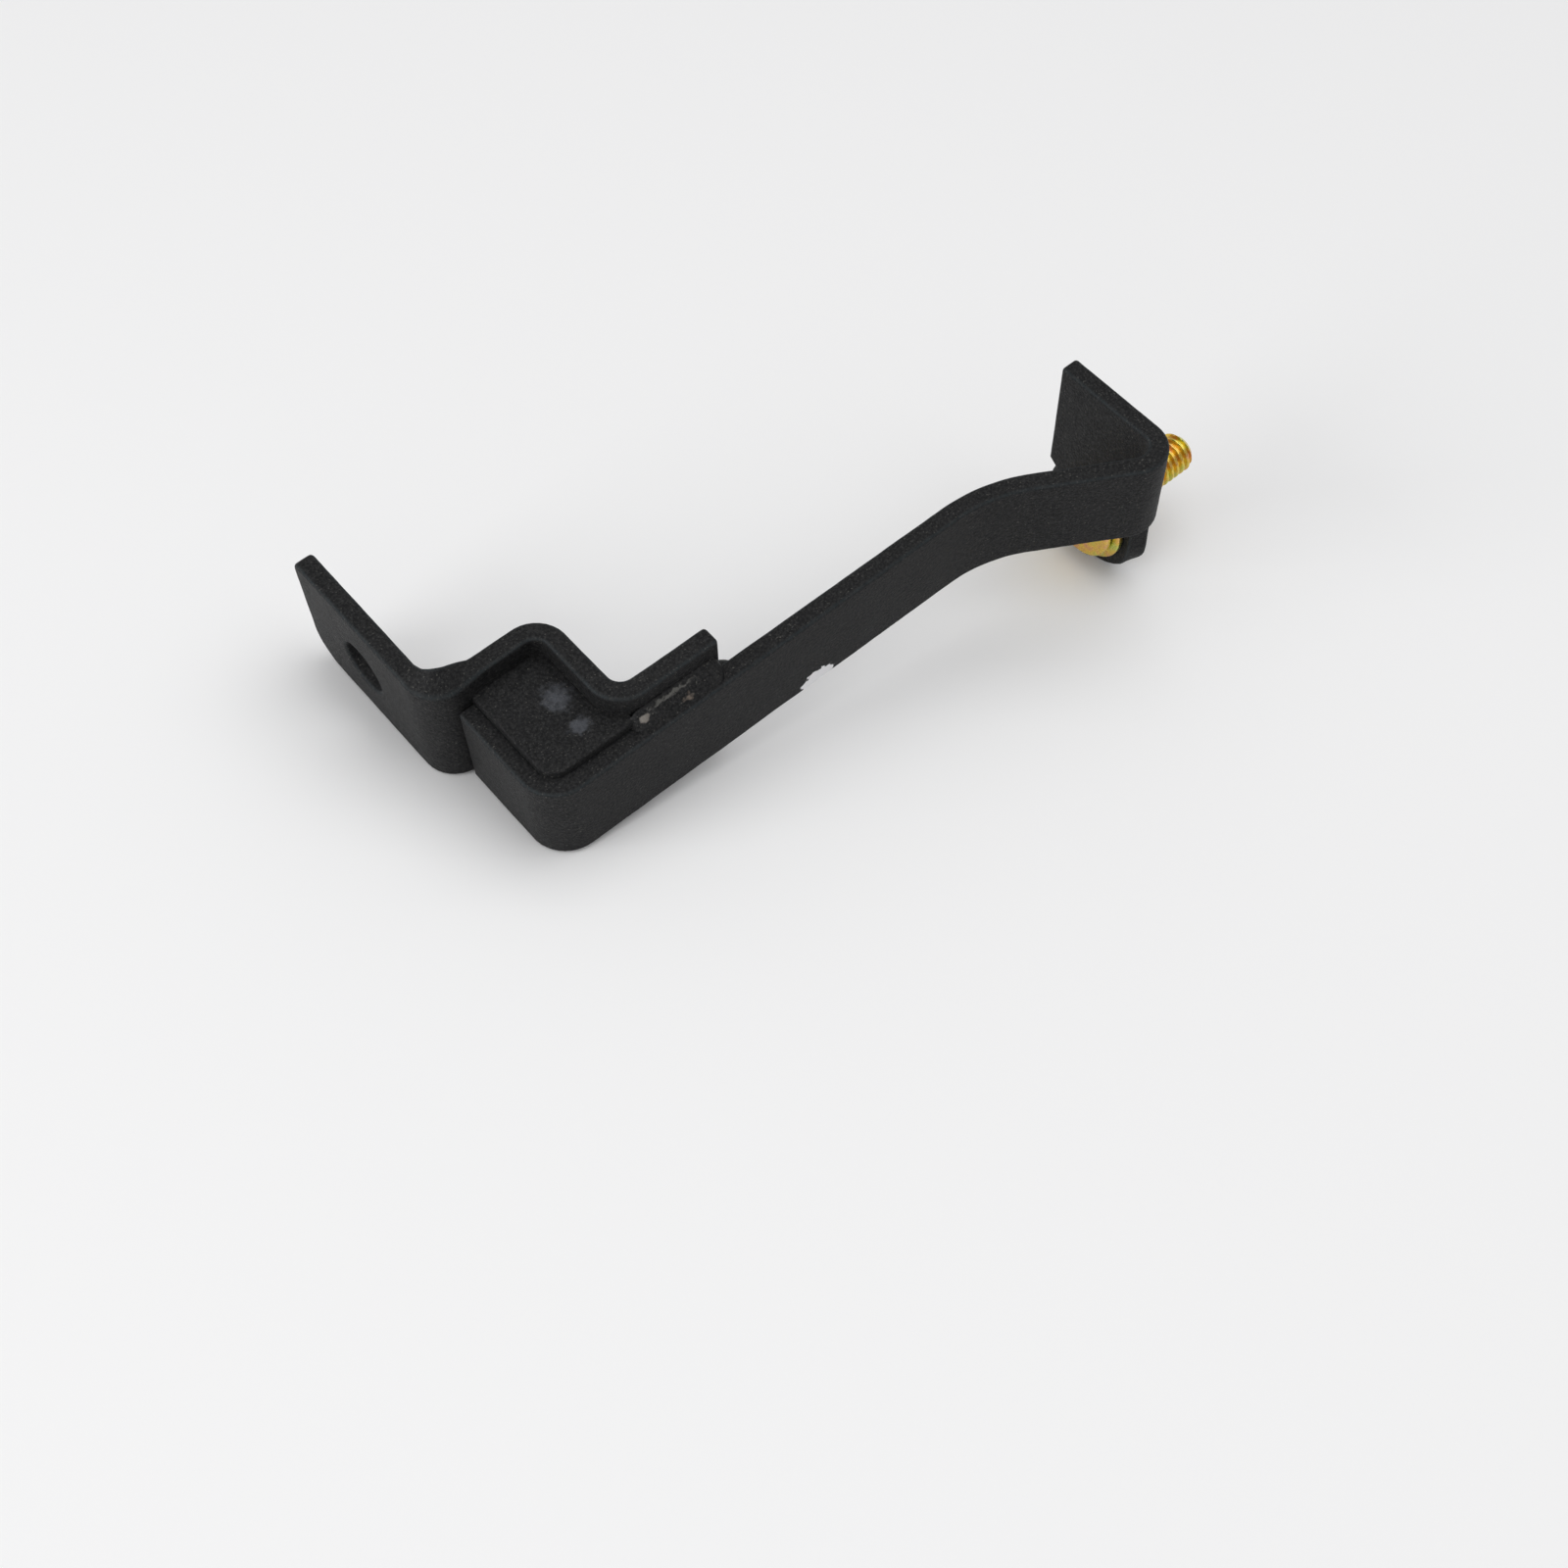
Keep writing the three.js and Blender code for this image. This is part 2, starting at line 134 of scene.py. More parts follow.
# %% Colour, node and finishing helpers
def linear(hex_colour):
    channels = [int(hex_colour[i:i + 2], 16) / 255 for i in (1, 3, 5)]
    return [c / 12.92 if c <= 0.04045 else ((c + 0.055) / 1.055) ** 2.4 for c in channels] + [1]


def add(tree, kind, inputs=None, **settings):
    """Adds a node. An input is a value, a socket, or a node, which stands for its first output."""
    node = tree.nodes.new(kind)
    for name, value in settings.items():
        setattr(node, name, value)
    for key, value in (inputs or {}).items():
        if isinstance(value, bpy.types.Node):
            value = value.outputs[0]
        if isinstance(value, bpy.types.NodeSocket):
            tree.links.new(value, node.inputs[key])
        else:
            node.inputs[key].default_value = value
    return node


def finish_piece(piece, body, nodes, place=None):
    """Lays the piece on the table and says which body it rides on and which nodes it stands for."""
    piece.data.transform(on_table @ place if place else on_table)
    work = bmesh.new()
    work.from_mesh(piece.data)
    bmesh.ops.recalc_face_normals(work, faces=work.faces)
    work.to_mesh(piece.data)
    work.free()
    for polygon in piece.data.polygons:
        polygon.use_smooth = True
    piece.data.set_sharp_from_angle(angle=math.radians(38))
    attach(piece, body)
    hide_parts(*nodes)
    print(piece.name, "has", len(piece.data.polygons), "faces")
    return piece

# %% [markdown]
# ## Black electrocoat
#
# The bracket is dipped in electrocoat, a thin black epoxy paint that is baked on. It is not
# glossy: the pickled steel under it leaves a fine tooth that breaks up reflections, and dust and
# handling leave pale specks. The rounded edges get a painted highlight, a bluish grey. Epoxy
# has an IOR of about 1.55. With the usual specular level its faces came out too light, because
# the real coat is much duller than smooth epoxy, so the level was lowered until the look matched.
# All of the pattern is in millimetres of the bench frame, which a Mapping node of the Texture kind
# gives by undoing the matrix above. So a noise scale of 2 is a pattern of about half a millimetre.

# %% Object coordinates in bench millimetres
def bench_coordinates(tree):
    coordinates = add(tree, "ShaderNodeTexCoord")
    return add(tree, "ShaderNodeMapping", {
        "Vector": coordinates.outputs["Object"],
        "Location": bench_origin,
        "Rotation": tilt.to_euler(),
        "Scale": (mm, mm, mm),
    }, vector_type="TEXTURE")


def new_material(name):
    material = bpy.data.materials.new(name)
    material.use_nodes = True
    material.node_tree.nodes.clear()
    return material, material.node_tree

# %% [markdown]
# ## Marks on the coat
#
# Work leaves marks: a dab of white paint on the arm and dusty fingerprints on the plate. The weld
# gets a painted highlight along its crown and two pale spots. Each mark is a ragged ellipsoid in
# bench millimetres, so it stays on its spot and wraps round an edge. The coat itself is layered: a
# dark base, the tooth, a painted highlight on the edges, then dust.

# %% Spots that are marked on the coat, in bench millimetres
def spot(tree, bench, centre, radii, wobble, sharp):
    """1 inside a ragged ellipsoid and 0 outside it. Wobble is how ragged, sharp how crisp."""
    ragged = add(tree, "ShaderNodeTexNoise", {"Vector": bench, "Scale": 0.9, "Detail": 4.0})
    shift = add(tree, "ShaderNodeVectorMath", {
        0: ragged.outputs["Color"], 1: (0.5, 0.5, 0.5),
    }, operation="SUBTRACT")
    moved = add(tree, "ShaderNodeVectorMath", {
        0: shift, 1: (wobble, wobble, wobble), 2: bench,
    }, operation="MULTIPLY_ADD")
    local = add(tree, "ShaderNodeMapping", {
        "Vector": moved, "Location": centre, "Scale": radii,
    }, vector_type="TEXTURE")
    away = add(tree, "ShaderNodeVectorMath", {0: local}, operation="LENGTH")
    return add(tree, "ShaderNodeMapRange", {
        "Value": away.outputs["Value"],
        "From Min": 1 - sharp, "From Max": 1 + sharp, "To Min": 1.0, "To Max": 0.0,
    }, interpolation_type="SMOOTHSTEP")


def electrocoat(name, gloss_roughness, tooth, marks=()):
    """marks are (spot inputs, colour, strength)."""
    material, tree = new_material(name)
    bench = bench_coordinates(tree)
    cloud = add(tree, "ShaderNodeTexNoise", {"Vector": bench, "Scale": 0.12, "Detail": 5.0})
    colour = add(tree, "ShaderNodeMix", {
        "Factor": cloud.outputs["Fac"], "A": linear("#0d0e0f"), "B": linear("#1b1b1c"),
    }, data_type="RGBA")
    colour = colour.outputs["Result"]

    # painted highlight: a bluish grey laid on the rounded edges of the bars, where light glances off them
    edge = add(tree, "ShaderNodeAttribute", attribute_name="edge")
    patchy = add(tree, "ShaderNodeTexNoise", {"Vector": bench, "Scale": 0.7, "Detail": 4.0})
    painted_edge_highlight = add(tree, "ShaderNodeMath", {
        0: edge.outputs["Fac"], 1: patchy.outputs["Fac"],
    }, operation="MULTIPLY")
    colour = add(tree, "ShaderNodeMix", {
        "Factor": painted_edge_highlight, "A": colour, "B": linear("#30373a"),
    }, data_type="RGBA").outputs["Result"]

    tooth_mottle = add(tree, "ShaderNodeTexNoise", {
        "Vector": bench, "Scale": 2.1, "Detail": 5.0, "Roughness": 0.7,
    })
    worn = add(tree, "ShaderNodeMapRange", {
        "Value": tooth_mottle.outputs["Fac"], "From Min": 0.42, "From Max": 0.72, "To Max": 0.8,
    })
    colour = add(tree, "ShaderNodeMix", {
        "Factor": worn.outputs["Result"], "A": colour, "B": linear("#363636"),
    }, data_type="RGBA").outputs["Result"]

    dust = add(tree, "ShaderNodeTexNoise", {"Vector": bench, "Scale": 2.6, "Detail": 3.0})
    specks = add(tree, "ShaderNodeMapRange", {
        "Value": dust.outputs["Fac"], "From Min": 0.62, "From Max": 0.74, "To Max": 0.7,
    })
    colour = add(tree, "ShaderNodeMix", {
        "Factor": specks.outputs["Result"], "A": colour, "B": linear("#5b5a56"),
    }, data_type="RGBA").outputs["Result"]

    for (centre, radii, wobble, sharp), mark_colour, strength in marks:
        mask = spot(tree, bench, centre, radii, wobble, sharp)
        amount = add(tree, "ShaderNodeMath", {0: mask, 1: strength}, operation="MULTIPLY")
        colour = add(tree, "ShaderNodeMix", {
            "Factor": amount, "A": colour, "B": linear(mark_colour),
        }, data_type="RGBA").outputs["Result"]

    rough = add(tree, "ShaderNodeMapRange", {
        "Value": patchy.outputs["Fac"],
        "To Min": gloss_roughness - 0.07, "To Max": gloss_roughness + 0.07,
    })
    grain = add(tree, "ShaderNodeTexNoise", {"Vector": bench, "Scale": 1.7, "Detail": 6.0, "Roughness": 0.62})
    bump = add(tree, "ShaderNodeBump", {
        "Height": grain.outputs["Fac"], "Distance": tooth * mm, "Strength": 1.0,
    })
    paint = add(tree, "ShaderNodeBsdfPrincipled", {
        "Base Color": colour, "Roughness": rough.outputs["Result"], "IOR": 1.55,
        "Specular IOR Level": 0.1, "Normal": bump,
    })
    add(tree, "ShaderNodeOutputMaterial", {"Surface": paint})
    return material


paint_dab = (((57.0, -0.6, 1.2), (3.7, 2.2, 2.6), 3.4, 0.05), "#e9e8ea", 1.0)
dusty_thumb = (((13.6, 15.2, 20.8), (2.0, 2.2, 2.0), 5.0, 0.7), "#8b8f98", 0.2)
dusty_finger = (((13.4, 8.6, 20.8), (1.6, 1.2, 2.0), 3.6, 0.6), "#8b8f98", 0.2)
coated_arm = electrocoat("electrocoated_arm", 0.56, 0.2, [paint_dab])
coated_strip = electrocoat("electrocoated_strip", 0.56, 0.2)
coated_plate = electrocoat("electrocoated_plate", 0.56, 0.2, [dusty_thumb, dusty_finger])
# painted highlight: a pale streak along the crown of the weld; its toe and its start get two pale spots
painted_crown_highlight = (((28.0, 3.2, 21.6), (4.4, 0.32, 0.6), 2.4, 0.5), "#6a6965", 0.6)
pale_toe_spot = (((30.4, 1.4, 20.6), (1.3, 0.6, 0.8), 1.6, 0.3), "#7c7066", 0.6)
pale_start_spot = (((22.2, 2.6, 21.2), (0.9, 0.6, 0.8), 1.4, 0.3), "#918b84", 0.6)
weld_highlight_and_spots = [painted_crown_highlight, pale_toe_spot, pale_start_spot]
coated_bead = electrocoat("electrocoated_weld", 0.5, 0.14, weld_highlight_and_spots)

# %% [markdown]
# ## Yellow zinc
#
# The screw and its washer are zinc plated and then dipped in yellow chromate. The chromate film
# is thin enough to colour light by interference, so the gold drifts towards green and rose from
# place to place. It is a metal, so it keeps the default IOR.

# %% Yellow chromate over zinc
def yellow_chromate(name):
    material, tree = new_material(name)
    bench = bench_coordinates(tree)
    film = add(tree, "ShaderNodeTexNoise", {"Vector": bench, "Scale": 0.35, "Detail": 3.0})
    hues = add(tree, "ShaderNodeValToRGB", {"Fac": film.outputs["Fac"]})
    ramp = hues.color_ramp
    ramp.elements[0].position, ramp.elements[0].color = 0.3, linear("#c6cf6a")
    ramp.elements[1].position, ramp.elements[1].color = 0.72, linear("#dba07c")
    middle = ramp.elements.new(0.5)
    middle.color = linear("#e3c057")
    mottle = add(tree, "ShaderNodeTexNoise", {"Vector": bench, "Scale": 2.2, "Detail": 3.0})
    rough = add(tree, "ShaderNodeMapRange", {
        "Value": mottle.outputs["Fac"], "To Min": 0.18, "To Max": 0.38,
    })
    bump = add(tree, "ShaderNodeBump", {
        "Height": mottle.outputs["Fac"], "Distance": 0.03 * mm, "Strength": 1.0,
    })
    metal = add(tree, "ShaderNodeBsdfPrincipled", {
        "Base Color": hues, "Metallic": 1.0, "Roughness": rough.outputs["Result"], "Normal": bump,
    })
    add(tree, "ShaderNodeOutputMaterial", {"Surface": metal})
    return material


chromated = yellow_chromate("yellow_chromated_zinc")

# %% [markdown]
# ## From a flat blank
#
# Both bars start as flat blanks: an outline with its holes, cut from sheet. A 2D curve does the
# same in Blender: filled, extruded to the thickness and bevelled inwards by the small radius that
# shearing and coating leave on every edge. The blank is then sliced into narrow columns and rows,
# because a face can only bend where it has vertices.

# %% Cut a flat blank and slice it
def arc_points(centre, radius, start, end, steps=10):
    """Points on an arc, in degrees, as (x, z)."""
    angles = [math.radians(start + (end - start) * i / steps) for i in range(steps + 1)]
    return [(centre[0] + radius * math.cos(a), centre[1] + radius * math.sin(a)) for a in angles]


def flat_blank(name, loops, thickness, edge_round):
    """A closed plate whose outline lies in X and Y, from Z = 0 up to its thickness."""
    curve = bpy.data.curves.new(name, "CURVE")
    curve.dimensions = "2D"
    curve.fill_mode = "BOTH"
    for loop in loops:
        spline = curve.splines.new("POLY")
        spline.points.add(len(loop) - 1)
        for point, (x, y) in zip(spline.points, loop):
            point.co = (x, y, 0, 1)
        spline.use_cyclic_u = True
    curve.extrude = thickness / 2 - edge_round
    curve.bevel_depth = edge_round
    curve.bevel_resolution = 3
    curve.offset = -edge_round
    holder = bpy.data.objects.new(name, curve)
    bpy.context.scene.collection.objects.link(holder)
    graph = bpy.context.evaluated_depsgraph_get()
    plate = bpy.data.meshes.new_from_object(holder.evaluated_get(graph))
    bpy.data.objects.remove(holder)
    plate.transform(Matrix.Translation((0, 0, thickness / 2)))
    return plate


def slice_mesh(mesh, columns, rows, layers):
    """Cuts a blank at these X, Y and Z places, after its loose seams are joined."""
    work = bmesh.new()
    work.from_mesh(mesh)
    bmesh.ops.remove_doubles(work, verts=work.verts, dist=0.001)
    bmesh.ops.dissolve_limit(work, angle_limit=math.radians(0.5), verts=work.verts, edges=work.edges)
    for axis, places in enumerate((columns, rows, layers)):
        normal = Vector([float(i == axis) for i in range(3)])
        rest = work.verts[:] + work.edges[:] + work.faces[:]
        for place in sorted(places):
            cut = bmesh.ops.bisect_plane(work, geom=rest, plane_co=normal * place, plane_no=normal)
            rest = [part for part in cut["geom"] if part.is_valid and reaches_past(part, axis, place)]
    bmesh.ops.triangulate(work, faces=[face for face in work.faces if len(face.verts) > 4])
    work.to_mesh(mesh)
    work.free()
    return mesh


def reaches_past(part, axis, place):
    """True if any of this vertex, edge or face is past the cut, so that the next cut may meet it."""
    points = [part] if isinstance(part, bmesh.types.BMVert) else part.verts
    return any(point.co[axis] > place - 0.001 for point in points)

# %% [markdown]
# ## How every node tree starts and ends
#
# The trees below share their beginning and their end. Each takes a geometry, some named sizes and
# a finish, and hands back one real mesh that wears the finish, so both ends are written once.

# %% Start and end a node tree
def new_tree(name, floats=(), integers=()):
    """A Geometry Nodes tree with named inputs, and the sockets that bring those inputs in."""
    tree = bpy.data.node_groups.new(name, "GeometryNodeTree")
    kinds = [("Geometry", "Geometry"), *[(size, "Float") for size in floats]]
    kinds += [*[(count, "Int") for count in integers], ("Finish", "Material")]
    for socket, kind in kinds:
        tree.interface.new_socket(socket, in_out="INPUT", socket_type=f"NodeSocket{kind}")
    tree.interface.new_socket("Geometry", in_out="OUTPUT", socket_type="NodeSocketGeometry")
    return tree, add(tree, "NodeGroupInput").outputs


def end_tree(tree, given, geometry):
    whole = add(tree, "GeometryNodeRealizeInstances", {"Geometry": geometry})
    coated = add(tree, "GeometryNodeSetMaterial", {"Geometry": whole, "Material": given["Finish"]})
    add(tree, "NodeGroupOutput", {"Geometry": coated})
    return tree

# %% [markdown]
# ## The press brake
#
# A press brake bends a blank along one line. The middle of the sheet keeps its length, and the
# rest of the blank swings round with the bend. One Geometry Nodes group says this once: a point's
# travel past the line, held between nothing and the length of the arc, gives the angle that it
# turns by. Tight bends also squeeze the metal on the inside, which swells past the edge of the
# bar, so the group has an input for that. A bar is then three bends in a row, the last one first.

# %% A node group for one bend
def bend_group():
    tree, given = new_tree("press_bend", floats=("Line", "Angle", "Inside", "Steel", "Top", "Swell"))
    at = add(tree, "ShaderNodeSeparateXYZ", {0: add(tree, "GeometryNodeInputPosition")}).outputs

    side = add(tree, "ShaderNodeMath", {0: given["Angle"]}, operation="SIGN")
    size = add(tree, "ShaderNodeMath", {0: given["Angle"]}, operation="ABSOLUTE")
    half = add(tree, "ShaderNodeMath", {0: given["Steel"], 1: 0.5}, operation="MULTIPLY")
    neutral = add(tree, "ShaderNodeMath", {0: given["Inside"], 1: half}, operation="ADD")
    arc = add(tree, "ShaderNodeMath", {0: neutral, 1: size}, operation="MULTIPLY")
    past = add(tree, "ShaderNodeMath", {0: at["X"], 1: given["Line"]}, operation="SUBTRACT")
    travel = add(tree, "ShaderNodeClamp", {"Value": past, "Min": 0.0, "Max": arc})
    turned = add(tree, "ShaderNodeMath", {0: travel, 1: neutral}, operation="DIVIDE")
    angle = add(tree, "ShaderNodeMath", {0: turned, 1: side}, operation="MULTIPLY")

    # swell: most just past the bend, on its inner side, near the top edge of the bar
    past_swell = add(tree, "ShaderNodeMath", {0: past, 1: 2.2}, operation="ADD")
    swell_length = add(tree, "ShaderNodeMath", {0: arc, 1: 6.5}, operation="ADD")
    share = add(tree, "ShaderNodeMath", {
        0: past_swell, 1: swell_length,
    }, operation="DIVIDE", use_clamp=True)
    half_turn = add(tree, "ShaderNodeMath", {0: share, 1: math.pi}, operation="MULTIPLY")
    rise = add(tree, "ShaderNodeMath", {0: half_turn}, operation="SINE")
    across = add(tree, "ShaderNodeMath", {0: at["Y"], 1: given["Steel"]}, operation="DIVIDE")
    centred = add(tree, "ShaderNodeMath", {0: across, 1: 0.5}, operation="SUBTRACT")
    inner = add(tree, "ShaderNodeMath", {0: centred, 1: side, 2: 0.2}, operation="MULTIPLY_ADD")
    below_top = add(tree, "ShaderNodeMath", {0: given["Top"], 1: at["Z"]}, operation="SUBTRACT")
    near_top = add(tree, "ShaderNodeMapRange", {
        "Value": below_top, "From Min": 0.0, "From Max": 9.0, "To Min": 1.0, "To Max": 0.0,
    }, interpolation_type="SMOOTHSTEP")
    lift = add(tree, "ShaderNodeMath", {0: rise, 1: inner}, operation="MULTIPLY")
    lift = add(tree, "ShaderNodeMath", {0: lift, 1: near_top}, operation="MULTIPLY")
    lift = add(tree, "ShaderNodeMath", {0: lift, 1: given["Swell"], 2: at["Z"]}, operation="MULTIPLY_ADD")

    back = add(tree, "ShaderNodeMath", {0: at["X"], 1: travel}, operation="SUBTRACT")
    drawn = add(tree, "ShaderNodeCombineXYZ", {"X": back, "Y": at["Y"], "Z": lift})
    off = add(tree, "ShaderNodeMath", {0: neutral, 1: side, 2: half}, operation="MULTIPLY_ADD")
    centre = add(tree, "ShaderNodeCombineXYZ", {"X": given["Line"], "Y": off})
    swung = add(tree, "ShaderNodeVectorRotate", {
        "Vector": drawn, "Center": centre, "Angle": angle,
    }, rotation_type="Z_AXIS")
    moved = add(tree, "GeometryNodeSetPosition", {"Geometry": given["Geometry"], "Position": swung})
    add(tree, "NodeGroupOutput", {"Geometry": moved})
    return tree


press_bend = bend_group()

# %% [markdown]
# ## A bar with three bends
#
# Each bar is bent three times. Before the bends the tree stores how rounded each place is, which
# the coat uses for its painted edge highlight, and adds the slight waviness of sheared stock.

# %% The tree for a bar with three bends
def bar_tree():
    bend_sizes = ("Line", "Angle", "Inside", "Swell")
    numbered = [f"{name} {i}" for i in (1, 2, 3) for name in bend_sizes]
    tree, given = new_tree("three_bends", floats=("Steel", "Top", "Waviness", *numbered))

    # how far each place is round a rounded edge: 0 on a flat face, 1 halfway round
    normal = add(tree, "GeometryNodeInputNormal")
    facing = add(tree, "ShaderNodeSeparateXYZ", {0: normal}).outputs["Y"]
    square = add(tree, "ShaderNodeMath", {0: facing, 1: facing}, operation="MULTIPLY")
    other = add(tree, "ShaderNodeMath", {0: 1.0, 1: square}, operation="SUBTRACT")
    product = add(tree, "ShaderNodeMath", {0: square, 1: other}, operation="MULTIPLY")
    rounded = add(tree, "ShaderNodeMath", {0: product, 1: 4.0}, operation="MULTIPLY", use_clamp=True)
    # the roundness is stored for the coat's painted edge highlight
    marked = add(tree, "GeometryNodeStoreNamedAttribute", {
        "Geometry": given["Geometry"], "Name": "edge", "Value": rounded,
    }, data_type="FLOAT", domain="POINT")

    # sheared and rolled stock is never quite flat
    wave = add(tree, "ShaderNodeTexNoise", {"Scale": 0.16, "Detail": 3.0, "Roughness": 0.55})
    sway = add(tree, "ShaderNodeMath", {0: wave.outputs["Fac"], 1: 0.62}, operation="SUBTRACT")
    depth = add(tree, "ShaderNodeMath", {0: sway, 1: given["Waviness"]}, operation="MULTIPLY")
    offset = add(tree, "ShaderNodeVectorMath", {0: normal, "Scale": depth}, operation="SCALE")
    flow = add(tree, "GeometryNodeSetPosition", {"Geometry": marked, "Offset": offset})

    for i in (3, 2, 1):
        own = {name: given[f"{name} {i}"] for name in bend_sizes}
        shared = {"Geometry": flow, "Steel": given["Steel"], "Top": given["Top"]}
        flow = add(tree, "GeometryNodeGroup", {**shared, **own}, node_tree=press_bend)
    return end_tree(tree, given, flow)


bending = bar_tree()

# %% [markdown]
# ## Running a tree
#
# A modifier's input is set by its socket's identifier, before the object is first evaluated. The
# evaluated result becomes a plain mesh and the modifier goes, so nothing is left live.

# %% Run a tree on a mesh and keep the result as a plain piece
def run_tree(name, start, tree, **sizes):
    """start is the mesh or curve that the tree works on. Underscores in a size's name are spaces."""
    worker = bpy.data.objects.new(name, start)
    bpy.context.scene.collection.objects.link(worker)
    modifier = worker.modifiers.new("tree", "NODES")
    modifier.node_group = tree
    sockets = {
        item.name: item.identifier for item in tree.interface.items_tree
        if item.in_out == "INPUT"
    }
    for size, value in sizes.items():
        modifier[sockets[size.replace("_", " ")]] = value
    graph = bpy.context.evaluated_depsgraph_get()
    result = bpy.data.meshes.new_from_object(worker.evaluated_get(graph))
    bpy.data.objects.remove(worker)
    piece = bpy.data.objects.new(name, result)
    bpy.context.scene.collection.objects.link(piece)
    return piece

# %% [markdown]
# ## Bend lines from the finished shape
#
# A drawing gives the outside corners of a bent bar, and the shop needs the bend lines on the flat
# blank. Each corner takes a tangent off the straight runs beside it, and each bend gives back an
# arc of the sheet's middle line.

# %% Work out the flat pattern
def flat_pattern(corners, insides):
    """Bend lines, angles and length of the blank. Corners are those of the face on the right."""
    lines, angles, along, taken = [], [], 0.0, 0.0
    for i, inside in enumerate(insides):
        before = Vector(corners[i + 1]) - Vector(corners[i])
        after = Vector(corners[i + 2]) - Vector(corners[i + 1])
        angle = before.angle_signed(after) * -1
        face_radius = inside + steel if angle > 0 else inside
        tangent = face_radius * math.tan(abs(angle) / 2)
        along += before.length - taken - tangent
        lines.append(along)
        angles.append(angle)
        along += (inside + steel / 2) * abs(angle)
        taken = tangent
    length = along + after.length - taken
    return lines, angles, length


def steps_between(start, end, step):
    count = max(1, round((end - start) / step))
    return [start + (end - start) * i / count for i in range(1, count)]

# %% [markdown]
# ## The arm
#
# The arm is one blank of 3.8 mm sheet: a 19 mm bar for the leg, the long run and the short run,
# and a flange whose lower part is left longer as a round lug. The lug has the clearance hole for
# the screw. The blank is drawn flat, with the lug's outline moved to where it lies before bending.

# %% Cut, slice and bend the arm
edge_round = 0.7
sheared_corner = 0.8
column_width = 0.8
arm_corners = [
    (0, pan_depth - fit_gap), (0, 0), (long_run, 0),
    (flange_face, flange_corner_y), (flange_face, flange_end),
]
arm_insides = [arm_inside_bend, dogleg_inside, tight_bend]
arm_lines, arm_angles, arm_length = flat_pattern(arm_corners, arm_insides)
bolt_along = arm_length - bolt_from_flange_end
lug_wrap = math.radians(32)
lug_start = arm_lines[2] + (arm_angles[2] - lug_wrap) * (tight_bend + steel / 2)
lug_shoulder = -6.2
hole_radius = 4.45
arm_outline = [
    (0, 0), (lug_start - sheared_corner, 0), (lug_start, -sheared_corner), (lug_start, lug_shoulder),
    *arc_points((bolt_along, -bolt_drop), lug_radius, 180, 382, 44),
    (arm_length, lug_shoulder),
    *arc_points((arm_length - sheared_corner, arm_height - sheared_corner), sheared_corner, 0, 90, 5),
    (0, arm_height),
]
lug_hole = arc_points((bolt_along, -bolt_drop), hole_radius, 0, 351, 39)
arm_blank = flat_blank("arm_blank", [arm_outline, lug_hole], steel, edge_round)
arm_blank.transform(Matrix(((1, 0, 0, 0), (0, 0, -1, steel), (0, 1, 0, 0), (0, 0, 0, 1))))
rows = steps_between(-24, arm_height, 1.0) + [edge_round + 0.05, arm_height - edge_round - 0.05]
layers = [edge_round + 0.05, steel / 2, steel - edge_round - 0.05]
arm_mesh = slice_mesh(arm_blank, steps_between(0, arm_length, column_width), layers, rows)
arm = run_tree(
    "arm", arm_mesh, bending, Steel=steel, Top=arm_height, Waviness=0.22, Finish=coated_arm,
    Line_1=arm_lines[0], Angle_1=arm_angles[0], Inside_1=arm_inside_bend, Swell_1=0.3,
    Line_2=arm_lines[1], Angle_2=arm_angles[1], Inside_2=dogleg_inside, Swell_2=0.0,
    Line_3=arm_lines[2], Angle_3=arm_angles[2], Inside_3=tight_bend, Swell_3=0.3,
)
down_the_leg = Matrix.Translation((0, pan_depth - fit_gap, 0)) @ Matrix.Rotation(-math.pi / 2, 4, "Z")
finish_piece(arm, "bracket", ["arm"], down_the_leg)
print("arm blank, mm:", round(arm_length, 1))

# %% [markdown]
# ## The mounting strip
#
# The strip is 25.4 mm wide, so it stands above the arm. It starts at the free end of the tab,
# where the lower corner is rounded off, and is bent three times: into the back of the pan, across
# the pan, and along the back of the arm. Its inner bends are tight, so they swell at the top.

# %% Cut, slice and bend the strip
strip_face = steel + fit_gap
tab_end = pan_depth + tab_length
lap_end = pan_width + lap_length
strip_corners = [
    (-tab_offset, tab_end), (-tab_offset, pan_depth), (pan_width, pan_depth),
    (pan_width, strip_face), (lap_end, strip_face),
]
strip_lines, strip_angles, strip_length = flat_pattern(strip_corners, [tight_bend] * 3)
toe, top_corner = 6.5, 1.6
tab_hole_radius, tab_hole_from_end, tab_hole_height = 5, 17, 12.4
strip_outline = [
    *arc_points((toe, toe), toe, 180, 270, 10),
    (strip_length, 0),
    *arc_points((strip_length - sheared_corner, strip_height - sheared_corner), sheared_corner, 0, 90, 4),
    *arc_points((top_corner, strip_height - top_corner), top_corner, 90, 180, 6),
]
mounting_hole = arc_points((tab_hole_from_end, tab_hole_height), tab_hole_radius, 0, 351, 39)
strip_blank = flat_blank("strip_blank", [strip_outline, mounting_hole], steel, edge_round)
strip_blank.transform(Matrix(((1, 0, 0, 0), (0, 0, -1, steel), (0, 1, 0, 0), (0, 0, 0, 1))))
rows = steps_between(0, strip_height, 1.0) + [edge_round + 0.05, strip_height - edge_round - 0.05]
strip_mesh = slice_mesh(strip_blank, steps_between(0, strip_length, column_width), layers, rows)
